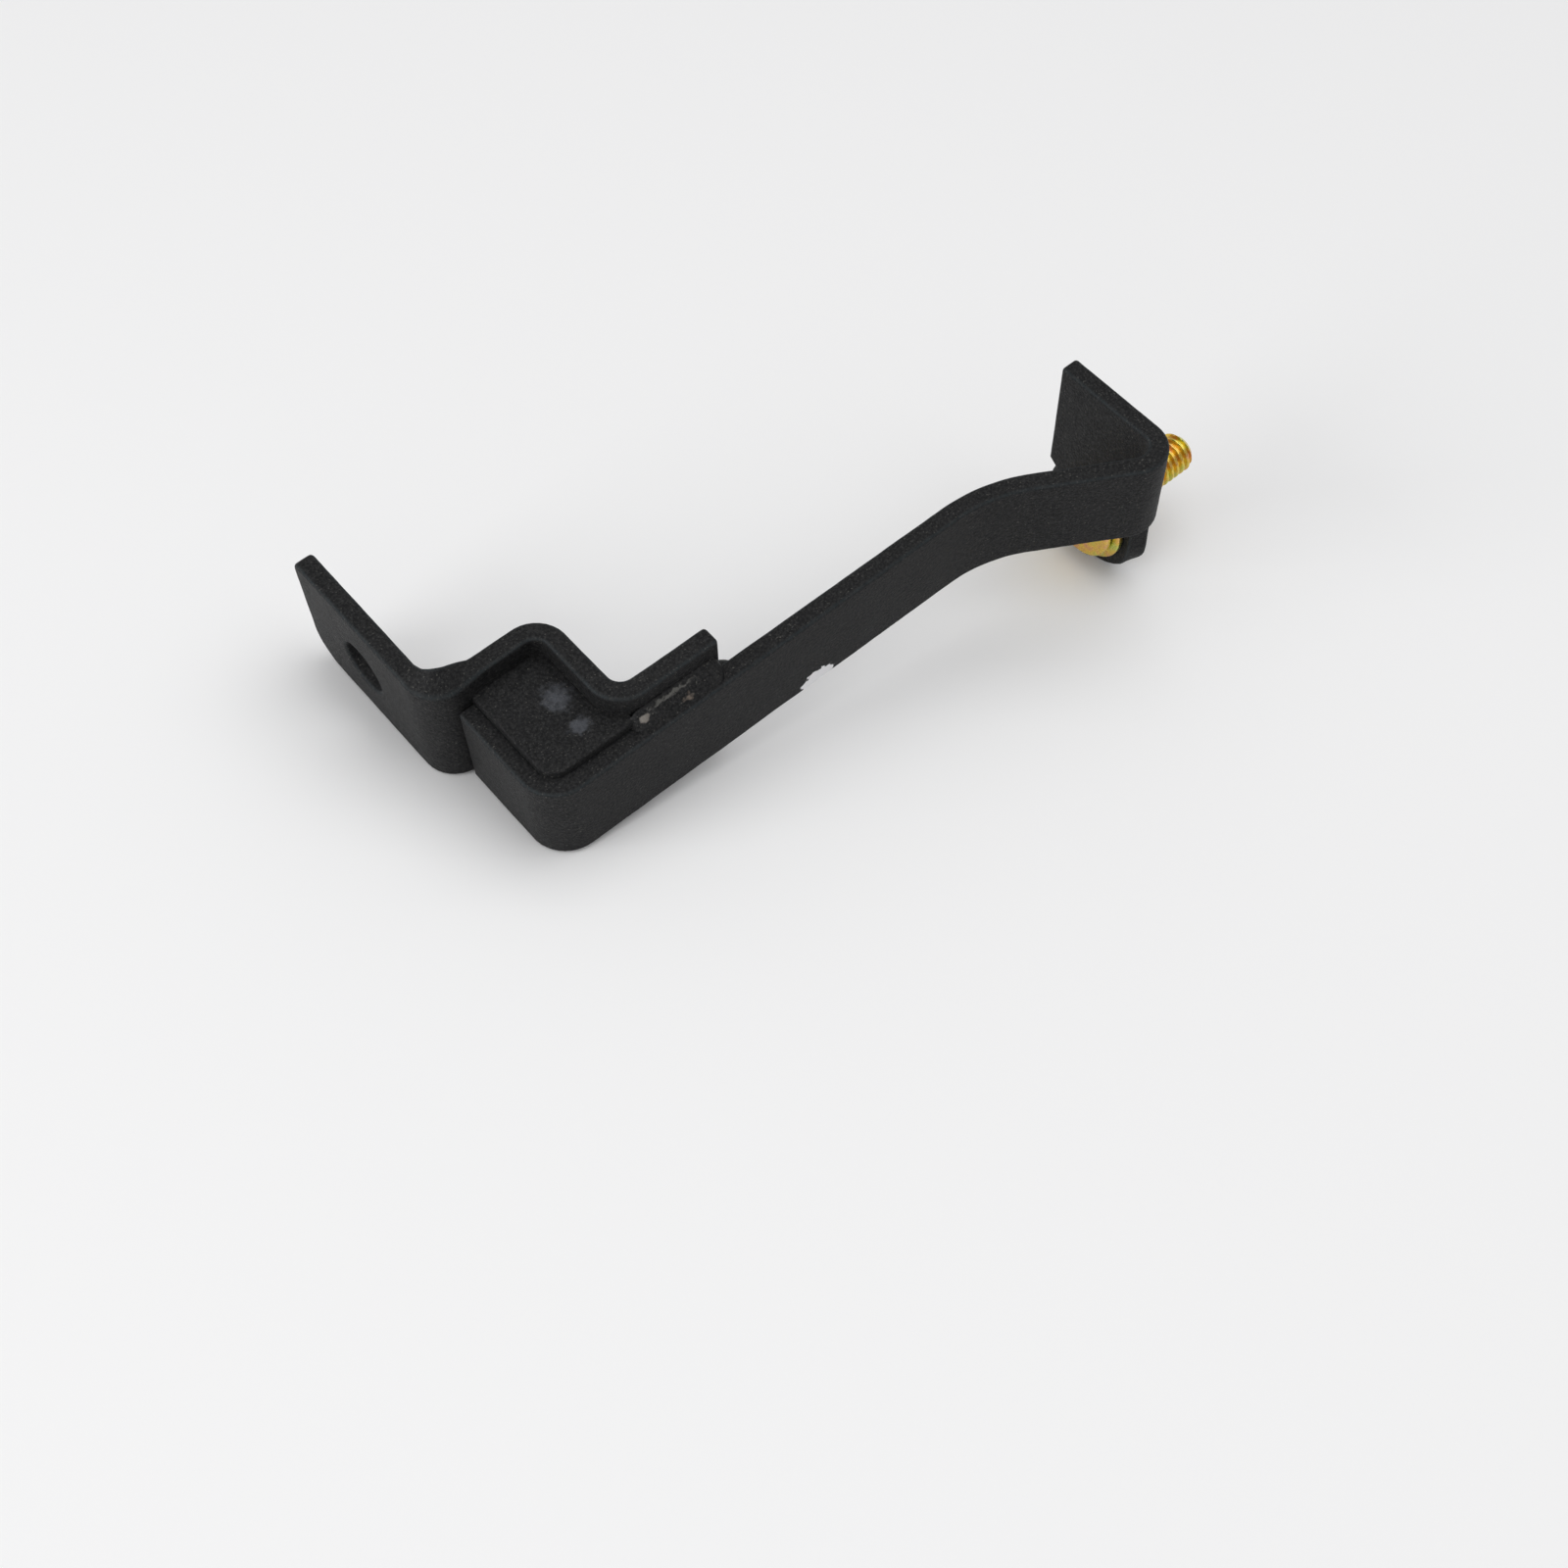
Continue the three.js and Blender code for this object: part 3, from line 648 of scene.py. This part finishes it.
strip = run_tree(
    "mounting_strip", strip_mesh, bending, Steel=steel, Top=strip_height, Waviness=0.22,
    Finish=coated_strip,
    Line_1=strip_lines[0], Angle_1=strip_angles[0], Inside_1=tight_bend, Swell_1=4.2,
    Line_2=strip_lines[1], Angle_2=strip_angles[1], Inside_2=tight_bend, Swell_2=0.3,
    Line_3=strip_lines[2], Angle_3=strip_angles[2], Inside_3=tight_bend, Swell_3=0.3,
)
down_the_tab = Matrix.Translation((-tab_offset, tab_end, 0)) @ Matrix.Rotation(-math.pi / 2, 4, "Z")
finish_piece(strip, "bracket", ["mounting_strip"], down_the_tab)
print("strip blank, mm:", round(strip_length, 1))

# %% [markdown]
# ## The gusset plate
#
# A plate closes the pan between the leg, the arm and the strip, and stands a little above the
# arm. Its outline follows them closely, with a notch round the outside of the strip's
# last bend, so it runs out in a thin tongue along the arm.

# %% Cut the gusset plate
plate_under, plate_top = 17.0, 20.8
notch = tight_bend + steel - 0.4
notch_centre = (pan_width + tight_bend + steel, strip_face + tight_bend + steel)
front_corner = arm_inside_bend
left = steel - 0.45
right = pan_width + 0.4
back = pan_depth + 0.4
plate_outline = [
    (left, back),
    *arc_points((left + front_corner, left + front_corner), front_corner, 180, 270, 8),
    (notch_centre[0] - notch / 2, left),
    *arc_points(notch_centre, notch, 240, 180, 10),
    *arc_points((right - tight_bend, back - tight_bend), tight_bend, 0, 90, 8),
]
plate_blank = flat_blank("plate_blank", [plate_outline], plate_top - plate_under, 0.3)
plate_blank.transform(Matrix.Translation((0, 0, plate_under)))
plate_middle = (plate_under + plate_top) / 2
plate_columns = steps_between(left, right + 4, column_width)
plate_rows = steps_between(left, back, column_width)
plate_mesh = slice_mesh(plate_blank, plate_columns, plate_rows, [plate_middle])
plate = bpy.data.objects.new("gusset_plate", plate_mesh)
bpy.context.scene.collection.objects.link(plate)
plate.data.materials.append(coated_plate)
finish_piece(plate, "bracket", ["gusset_plate"])

# %% [markdown]
# ## Weld beads
#
# A weld bead is a row of puddles that froze one after the other, so its face carries crescent
# ripples that bow back towards its start. It fills the corner between two bars: two flat sides
# that are fused to the steel and a crowned face. It could be modelled from overlapping balls, but
# a grid wrapped round a section keeps it one clean skin. One tree makes every bead: it runs the
# section along the joint, closes in at both ends, and lifts the face by the ripples and by noise.

# %% The tree for a bead
def bead_tree():
    tree, given = new_tree(
        "weld_bead", floats=("Length", "Leg", "Ripple Spacing", "Ripple Height", "Bow", "Lumps"),
        integers=("Rings", "Around", "Seed"),
    )

    grid = add(tree, "GeometryNodeMeshGrid", {
        "Size X": 1.0, "Size Y": 1.0, "Vertices X": given["Around"], "Vertices Y": given["Rings"],
    })
    at = add(tree, "ShaderNodeSeparateXYZ", {0: add(tree, "GeometryNodeInputPosition")}).outputs
    round_it = add(tree, "ShaderNodeMath", {0: at["X"], 1: 0.5}, operation="ADD")
    along = add(tree, "ShaderNodeMath", {0: at["Y"], 1: 0.5}, operation="ADD")
    height = add(tree, "ShaderNodeMath", {0: along, 1: given["Length"]}, operation="MULTIPLY")
    sampled = add(tree, "GeometryNodeSampleCurve", {
        "Curves": given["Geometry"], "Factor": round_it,
    }, mode="FACTOR", use_all_curves=True)
    section = add(tree, "ShaderNodeSeparateXYZ", {0: sampled.outputs["Position"]}).outputs

    # both ends close in along a quarter of an ellipse
    other_end = add(tree, "ShaderNodeMath", {0: given["Length"], 1: height}, operation="SUBTRACT")
    nearest = add(tree, "ShaderNodeMath", {0: height, 1: other_end}, operation="MINIMUM")
    share = add(tree, "ShaderNodeMath", {0: nearest, 1: given["Leg"]}, operation="DIVIDE", use_clamp=True)
    rest = add(tree, "ShaderNodeMath", {0: 1.0, 1: share}, operation="SUBTRACT")
    square = add(tree, "ShaderNodeMath", {0: rest, 1: rest}, operation="MULTIPLY")
    open_part = add(tree, "ShaderNodeMath", {0: 1.0, 1: square}, operation="SUBTRACT")
    closing = add(tree, "ShaderNodeMath", {0: open_part}, operation="SQRT")

    # how far a point is from both fused sides, so that only the face is worked
    shallow = add(tree, "ShaderNodeMath", {0: section["X"], 1: section["Y"]}, operation="MINIMUM")
    face = add(tree, "ShaderNodeMapRange", {
        "Value": shallow, "From Min": 0.35, "From Max": 1.1, "To Min": 0.0, "To Max": 1.0,
    }, interpolation_type="SMOOTHSTEP")

    # crescents: rounded puddles with a narrow valley between, bowed across the face
    slant = add(tree, "ShaderNodeMath", {0: section["X"], 1: section["Y"]}, operation="SUBTRACT")
    bowed = add(tree, "ShaderNodeMath", {0: slant, 1: slant}, operation="MULTIPLY")
    place = add(tree, "ShaderNodeMath", {0: bowed, 1: given["Bow"], 2: height}, operation="MULTIPLY_ADD")
    point = add(tree, "ShaderNodeCombineXYZ", {"X": section["X"], "Y": section["Y"], "Z": height})
    seeded = add(tree, "ShaderNodeVectorMath", {0: point, 1: given["Seed"]}, operation="ADD")
    drift = add(tree, "ShaderNodeTexNoise", {"Vector": seeded, "Scale": 0.35, "Detail": 2.0})
    uneven = add(tree, "ShaderNodeMath", {
        0: drift.outputs["Fac"], 1: 3.0, 2: place,
    }, operation="MULTIPLY_ADD")
    count = add(tree, "ShaderNodeMath", {0: uneven, 1: given["Ripple Spacing"]}, operation="DIVIDE")
    half_turns = add(tree, "ShaderNodeMath", {0: count, 1: math.pi}, operation="MULTIPLY")
    wave = add(tree, "ShaderNodeMath", {0: half_turns}, operation="SINE")
    size = add(tree, "ShaderNodeMath", {0: wave}, operation="ABSOLUTE")
    puddle = add(tree, "ShaderNodeMath", {0: size, 1: 0.5}, operation="POWER")
    ripple = add(tree, "ShaderNodeMath", {0: puddle, 1: given["Ripple Height"]}, operation="MULTIPLY")
    lump = add(tree, "ShaderNodeTexNoise", {"Vector": seeded, "Scale": 0.55, "Detail": 4.0})
    sway = add(tree, "ShaderNodeMath", {0: lump.outputs["Fac"], 1: 0.65}, operation="SUBTRACT")
    lift = add(tree, "ShaderNodeMath", {0: sway, 1: given["Lumps"], 2: ripple}, operation="MULTIPLY_ADD")
    worked = add(tree, "ShaderNodeMath", {0: lift, 1: face}, operation="MULTIPLY")
    grown = add(tree, "ShaderNodeMath", {0: worked, 1: given["Leg"]}, operation="DIVIDE")
    scale = add(tree, "ShaderNodeMath", {0: grown, 1: 1.0}, operation="ADD")
    scale = add(tree, "ShaderNodeMath", {0: scale, 1: closing}, operation="MULTIPLY")
    x = add(tree, "ShaderNodeMath", {0: section["X"], 1: scale}, operation="MULTIPLY")
    y = add(tree, "ShaderNodeMath", {0: section["Y"], 1: scale}, operation="MULTIPLY")
    target = add(tree, "ShaderNodeCombineXYZ", {"X": x, "Y": y, "Z": height})
    wrapped = add(tree, "GeometryNodeSetPosition", {"Geometry": grid, "Position": target})
    closed = add(tree, "GeometryNodeMergeByDistance", {"Geometry": wrapped, "Distance": 0.0005})
    return end_tree(tree, given, closed)


welding = bead_tree()

# %% [markdown]
# ## The five beads
#
# A welder lays a bead into a corner: on the lap, at the end of the strip, inside the leg, and
# twice under the plate. A bead is described by its root corner, its two legs and its length. The
# fused sides are buried a little in the steel, so no gap shows between a bead and its bars.

# %% Lay the five beads
bury = 0.35


def bead_section(across, up, crown=0.62):
    """A closed section: the root corner, one fused side, the crowned face, the other side."""
    across, up = across + bury, up + bury
    face = []
    for i in range(25):
        t = i / 24
        bulge = 1 + (2 * crown - 1) * math.sin(math.pi * t)
        face.append((across * (1 - t) * bulge, up * t * bulge))
    curve = bpy.data.curves.new("bead_section", "CURVE")
    spline = curve.splines.new("POLY")
    loop = [(0, 0), (across * 0.5, 0), *face, (0, up * 0.5)]
    spline.points.add(len(loop) - 1)
    for point, (x, y) in zip(spline.points, loop):
        point.co = (x, y, 0, 1)
    spline.use_cyclic_u = True
    return curve


def lay_bead(name, root, across, up, length, ripple_height, lumps, seed):
    """across and up are vectors as long as the bead's legs. The bead runs along their product."""
    x_axis, y_axis = Vector(across).normalized(), Vector(up).normalized()
    z_axis = x_axis.cross(y_axis)
    corner = Vector(root) - (x_axis + y_axis) * bury
    leg = min(Vector(across).length, Vector(up).length)
    bead = run_tree(
        name, bead_section(Vector(across).length, Vector(up).length), welding,
        Length=float(length), Leg=leg, Ripple_Spacing=1.5, Ripple_Height=ripple_height, Bow=0.16,
        Lumps=lumps, Rings=round(length / 0.1), Around=64, Seed=seed, Finish=coated_bead,
    )
    frame_of_bead = Matrix((
        (*x_axis, 0), (*y_axis, 0), (*z_axis, 0), (0, 0, 0, 1),
    )).transposed()
    finish_piece(
        bead, "bracket", [name], Matrix.Translation(corner) @ frame_of_bead,
    )
    return bead


behind_arm = steel + fit_gap
under_plate = 16.7
lay_bead("lap_weld", (39, 3.8, 19.0), (0, -3.3, 0), (0, 0, 3.0), 19.4, 0.07, 0.9, 3)
lay_bead("strip_end_weld", (39.6, 4.1, 1), (2.6, 0, 0), (0, 2.4, 0), 17, 0.16, 0.5, 8)
lay_bead("leg_weld", (behind_arm, 24.3, 14.8), (3, 0, 0), (0, -3, 0), 12.6, 0.2, 0.5, 14)
lay_bead("plate_weld_arm", (15.2, behind_arm, under_plate), (0, 3, 0), (0, 0, -3), 5.8, 0.2, 0.5, 21)
lay_bead("plate_weld_strip", (17.1, 16.7, under_plate), (-3, 0, 0), (0, 0, -3), 6.4, 0.2, 0.5, 27)

# %% [markdown]
# ## Turned parts and their thread
#
# The screw, its washer and its nut are all drawn as half sections and turned about one axis. A
# hexagon is a turned part whose radius is cut down to the flats, which leaves the curved chamfer
# marks that real nuts have. The 18 to the inch thread is cut by a tree: every point of a bore or
# shank moves along its radius by a wave of its height and of its angle round the axis. Screw and
# nut share the wave, so they mesh, and turning the screw by its pitch leaves them meshed.

# %% Turn a section and cut a thread
pitch = 25.4 / 18
thread_radius = 3.95
thread_depth = 0.61 * pitch


def turned(name, section, sides=96, flats=None):
    """Turns a closed section of (radius, height) about Z. Flats cuts the radius to a hexagon."""
    points = []
    for i in range(sides):
        angle = 2 * math.pi * i / sides
        off_flat = angle % (math.pi / 3) - math.pi / 6
        limit = flats / 2 / math.cos(off_flat) if flats else math.inf
        ring = [(min(radius, limit), height) for radius, height in section]
        points += [(r * math.cos(angle), r * math.sin(angle), z) for r, z in ring]
    n = len(section)
    faces = [
        (i * n + j, (i + 1) % sides * n + j, (i + 1) % sides * n + (j + 1) % n, i * n + (j + 1) % n)
        for i in range(sides) for j in range(n)
    ]
    mesh = bpy.data.meshes.new(name)
    mesh.from_pydata(points, [], faces)
    work = bmesh.new()
    work.from_mesh(mesh)
    bmesh.ops.remove_doubles(work, verts=work.verts, dist=0.001)
    work.to_mesh(mesh)
    work.free()
    return mesh


def thread_tree():
    tree, given = new_tree(
        "cut_thread", floats=("Pitch", "Depth", "Radius", "Start", "End", "Phase"),
    )
    position = add(tree, "GeometryNodeInputPosition")
    at = add(tree, "ShaderNodeSeparateXYZ", {0: position}).outputs
    outward = add(tree, "ShaderNodeVectorMath", {0: position, 1: (1, 1, 0)}, operation="MULTIPLY")
    radius = add(tree, "ShaderNodeVectorMath", {0: outward}, operation="LENGTH").outputs["Value"]
    angle = add(tree, "ShaderNodeMath", {0: at["Y"], 1: at["X"]}, operation="ARCTAN2")
    turns = add(tree, "ShaderNodeMath", {0: angle, 1: 2 * math.pi}, operation="DIVIDE")
    height = add(tree, "ShaderNodeMath", {0: at["Z"], 1: given["Phase"]}, operation="ADD")
    climbs = add(tree, "ShaderNodeMath", {0: height, 1: given["Pitch"]}, operation="DIVIDE")
    phase = add(tree, "ShaderNodeMath", {0: climbs, 1: turns}, operation="SUBTRACT")
    lap = add(tree, "ShaderNodeMath", {0: phase, 1: 0.5}, operation="PINGPONG")
    groove = add(tree, "ShaderNodeMapRange", {
        "Value": lap, "From Min": 0.06, "From Max": 0.44, "To Min": 0.0, "To Max": 1.0,
    }, interpolation_type="SMOOTHERSTEP")
    into = add(tree, "ShaderNodeMapRange", {
        "Value": add(tree, "ShaderNodeMath", {0: at["Z"], 1: given["Start"]}, operation="SUBTRACT"),
        "From Min": 0.0, "From Max": 0.8,
    })
    out_of = add(tree, "ShaderNodeMapRange", {
        "Value": add(tree, "ShaderNodeMath", {0: given["End"], 1: at["Z"]}, operation="SUBTRACT"),
        "From Min": -0.01, "From Max": 0.0,
    })
    past_radius = add(tree, "ShaderNodeMath", {0: radius, 1: given["Radius"]}, operation="SUBTRACT")
    on_thread = add(tree, "ShaderNodeMath", {0: past_radius, 1: 0.001}, operation="LESS_THAN")
    cut = add(tree, "ShaderNodeMath", {0: groove, 1: into}, operation="MULTIPLY")
    cut = add(tree, "ShaderNodeMath", {0: cut, 1: out_of}, operation="MULTIPLY")
    # a chamfer already lies inside the crest, so it only loses what the groove takes below it
    depth = add(tree, "ShaderNodeMath", {
        0: cut, 1: given["Depth"], 2: past_radius,
    }, operation="MULTIPLY_ADD")
    depth = add(tree, "ShaderNodeMath", {0: depth, 1: 0.0}, operation="MAXIMUM")
    depth = add(tree, "ShaderNodeMath", {0: depth, 1: on_thread}, operation="MULTIPLY")
    inward = add(tree, "ShaderNodeMath", {0: depth, 1: -1.0}, operation="MULTIPLY")
    unit = add(tree, "ShaderNodeVectorMath", {0: outward}, operation="NORMALIZE")
    offset = add(tree, "ShaderNodeVectorMath", {0: unit, "Scale": inward}, operation="SCALE")
    moved = add(tree, "GeometryNodeSetPosition", {"Geometry": given["Geometry"], "Offset": offset})
    return end_tree(tree, given, moved)


threading = thread_tree()


def on_bolt(height):
    """The matrix that stands a turned part on the bolt axis, its Z along the bolt."""
    return Matrix((
        (0, 0, 1, height), (1, 0, 0, bolt_y), (0, 1, 0, -bolt_drop), (0, 0, 0, 1),
    ))

# %% [markdown]
# ## The screw
#
# A 5/16 inch screw with a low round head, of which a stamped head with a soft edge shows under
# the arm. Its thread runs almost up to the head, and the tip is chamfered so that it starts easily.

# %% Turn and thread the screw
bolt_length, head_height, head_radius = 26.2, 1.7, 7.4
tip_chamfer = 1.1
shank_end = head_height + bolt_length
shank_rows = steps_between(head_height + 0.3, shank_end - tip_chamfer, 0.1)
chamfer_rows = steps_between(0, tip_chamfer, 0.1)
bolt_section = [
    (0, 0.12), (3, 0.05), (5.6, 0.02), (head_radius - 0.6, 0),
    *[(head_radius - 0.5 + x, 0.5 + z) for x, z in arc_points((0, 0), 0.5, -80, 0, 5)],
    (head_radius, head_height - 0.3), (head_radius - 0.25, head_height),
    (thread_radius + 0.3, head_height), (thread_radius, head_height + 0.3),
    *[(thread_radius, z) for z in shank_rows],
    (thread_radius, shank_end - tip_chamfer),
    *[(thread_radius - z, shank_end - tip_chamfer + z) for z in chamfer_rows],
    (thread_radius - tip_chamfer, shank_end), (1.4, shank_end), (0, shank_end - 0.05),
]
bolt = run_tree(
    "bolt", turned("bolt", bolt_section), threading, Pitch=pitch, Depth=thread_depth,
    Radius=thread_radius, Start=head_height + 0.9, End=shank_end, Phase=0.0, Finish=chromated,
)
finish_piece(bolt, "bolt_body", ["bolt"], on_bolt(head_seat - head_height))

# %% [markdown]
# ## The washer
#
# A stamped washer: one edge is rolled over by the punch and the other is left a little sharper.

# %% Turn the washer
washer_section = [
    (4.3, 0.15), (4.45, 0), (8.4, 0),
    *[(8.4 + x, 0.35 + z) for x, z in arc_points((0, 0), 0.35, -70, 0, 5)],
    (8.75, washer_thickness - 0.15), (8.6, washer_thickness),
    (4.45, washer_thickness), (4.3, washer_thickness - 0.15),
]
washer = bpy.data.objects.new("washer", turned("washer", washer_section))
bpy.context.scene.collection.objects.link(washer)
washer.data.materials.append(chromated)
finish_piece(washer, "washer_body", ["washer"], on_bolt(washer_near))

# %% [markdown]
# ## The weld nut and its tacks
#
# The nut is welded to the far side of the lug by three tacks, so that the screw can be turned with
# one hand. Its bore carries the screw's own thread with a tenth of a millimetre to spare.

# %% Turn and thread the nut
nut_bore = thread_radius + 0.1
nut_corner = nut_flats / math.sqrt(3)
nut_face = 6.05
slope = (nut_corner - nut_face) * math.tan(math.radians(30))
face_rows = [(nut_face + t * (nut_corner - nut_face), t * slope) for t in (0, 0.2, 0.4, 0.6, 0.8, 1)]
nut_section = [
    (nut_bore, 0.0), (nut_face, 0), *face_rows[1:],
    *[(r, nut_height - z) for r, z in reversed(face_rows)],
    (nut_bore, nut_height),
    *[(nut_bore, z) for z in reversed(steps_between(0, nut_height, 0.1))],
]
nut = run_tree(
    "weld_nut", turned("weld_nut", nut_section, flats=nut_flats), threading, Pitch=pitch,
    Depth=thread_depth, Radius=nut_bore, Start=-1.0, End=nut_height + 1,
    Phase=nut_seat - head_seat + head_height, Finish=coated_bead,
)
finish_piece(nut, "bracket", ["weld_nut"], on_bolt(nut_seat))

# %% [markdown]
# ## Three tacks
#
# Three small spots of weld sit on a ring round the nut. The tree puts a ball on each point of the
# ring, makes them real and roughens them, because a tack is a lump and not a neat ball.

# %% The three tacks
def tack_tree():
    tree, given = new_tree(
        "nut_tacks", floats=("Ring Radius", "Tack Radius", "Lumps"), integers=("Count",),
    )
    ring = add(tree, "GeometryNodeMeshCircle", {
        "Vertices": given["Count"], "Radius": given["Ring Radius"],
    })
    ring = add(tree, "GeometryNodeTransform", {"Geometry": ring, "Rotation": (0, 0, math.pi / 2)})
    ball = add(tree, "GeometryNodeMeshIcoSphere", {"Radius": given["Tack Radius"], "Subdivisions": 5})
    set_down = add(tree, "GeometryNodeInstanceOnPoints", {"Points": ring, "Instance": ball})
    whole = add(tree, "GeometryNodeRealizeInstances", {"Geometry": set_down})
    noise = add(tree, "ShaderNodeTexNoise", {"Scale": 0.5, "Detail": 3.0})
    sway = add(tree, "ShaderNodeMath", {0: noise.outputs["Fac"], 1: 0.7}, operation="SUBTRACT")
    depth = add(tree, "ShaderNodeMath", {0: sway, 1: given["Lumps"]}, operation="MULTIPLY")
    normal = add(tree, "GeometryNodeInputNormal")
    offset = add(tree, "ShaderNodeVectorMath", {0: normal, "Scale": depth}, operation="SCALE")
    rough = add(tree, "GeometryNodeSetPosition", {"Geometry": whole, "Offset": offset})
    return end_tree(tree, given, rough)


tacks = run_tree(
    "nut_tacks", bpy.data.meshes.new("nothing"), tack_tree(), Ring_Radius=nut_flats / 2 + fit_gap,
    Tack_Radius=1.7, Lumps=0.9, Count=3, Finish=coated_bead,
)
finish_piece(
    tacks, "bracket", ["nut_tack_1", "nut_tack_2", "nut_tack_3"], on_bolt(nut_seat),
)

# %% [markdown]
# ## Floor, light and camera
#
# The bracket lies on a plain matt white table. A big soft light hangs almost overhead and a lower
# one comes from the left, so the shadows are faint and the faces to the left are a little lighter.
# The camera looks down at the long side of the arm and is rolled by a few degrees.

# %% Floor, lights and camera
floor_mesh = bpy.data.meshes.new("table")
reach = 4.0
floor_mesh.from_pydata(
    [(-reach, -reach, 0), (reach, -reach, 0), (reach, reach, 0), (-reach, reach, 0)], [], [(0, 1, 2, 3)],
)
table = bpy.data.objects.new("table", floor_mesh)
bpy.context.scene.collection.objects.link(table)
table_paint, tree = new_material("matt_white_table")
paper = add(tree, "ShaderNodeBsdfPrincipled", {"Base Color": linear("#f5f5f5"), "Roughness": 0.8})
add(tree, "ShaderNodeOutputMaterial", {"Surface": paper})
table.data.materials.append(table_paint)
table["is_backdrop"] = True

world = bpy.data.worlds.new("studio")
bpy.context.scene.world = world
world.use_nodes = True
world.node_tree.nodes["Background"].inputs["Color"].default_value = linear("#f7f7f8")
world.node_tree.nodes["Background"].inputs["Strength"].default_value = 0.46


def softbox(name, azimuth, elevation, distance, size, watts, colour="#ffffff"):
    """A square area light aimed at the object. Azimuth 0 is on the viewer's side of the X axis."""
    a, e = math.radians(azimuth), math.radians(elevation)
    place = Vector((math.sin(a) * math.cos(e), -math.cos(a) * math.cos(e), math.sin(e))) * distance
    lamp = bpy.data.lights.new(name, "AREA")
    lamp.energy = watts
    lamp.size = size
    lamp.color = linear(colour)[:3]
    holder = bpy.data.objects.new(name, lamp)
    holder.location = place
    holder.rotation_euler = (-place).to_track_quat("-Z", "Y").to_euler()
    bpy.context.scene.collection.objects.link(holder)
    return holder


softbox("overhead", 40, 78, 1.5, 1.9, 13.5)
softbox("left_window", -98, 16, 1.5, 1.0, 13)

camera_azimuth = math.radians(47.82)
camera_elevation = math.radians(50.67)
camera_roll = math.radians(-9.16)
camera_distance = 0.3795
aim = Vector((-0.02825, -0.03247, 0))
gaze = Vector((
    math.sin(camera_azimuth) * math.cos(camera_elevation),
    math.cos(camera_azimuth) * math.cos(camera_elevation),
    -math.sin(camera_elevation),
))
lens = bpy.data.cameras.new("camera")
lens.sensor_width = 36
lens.lens = 49.83
lens.clip_start = 0.01
camera = bpy.data.objects.new("camera", lens)
level_right = Vector((math.cos(camera_azimuth), -math.sin(camera_azimuth), 0))
level_down = gaze.cross(level_right)
right_axis = math.cos(camera_roll) * level_right + math.sin(camera_roll) * level_down
up_axis = math.sin(camera_roll) * level_right - math.cos(camera_roll) * level_down
camera.matrix_world = Matrix((
    (*right_axis, 0), (*up_axis, 0), (*(-gaze), 0), (0, 0, 0, 1),
)).transposed()
camera.location = aim - gaze * camera_distance
bpy.context.scene.collection.objects.link(camera)
bpy.context.scene.camera = camera
bpy.context.scene.view_settings.view_transform = "Standard"

# %% [markdown]
#
# The box of the finished pieces is measured, and the difference of each of its corners from the
# box of the CAD model is printed in millimetres.

# %% Measure the boxes and finish
visual_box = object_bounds()
for low_high, cad, seen in zip(("low", "high"), cad_box, visual_box):
    print(low_high, [round((s - c) * 1000, 2) for c, s in zip(cad, seen)], "mm from the CAD box")
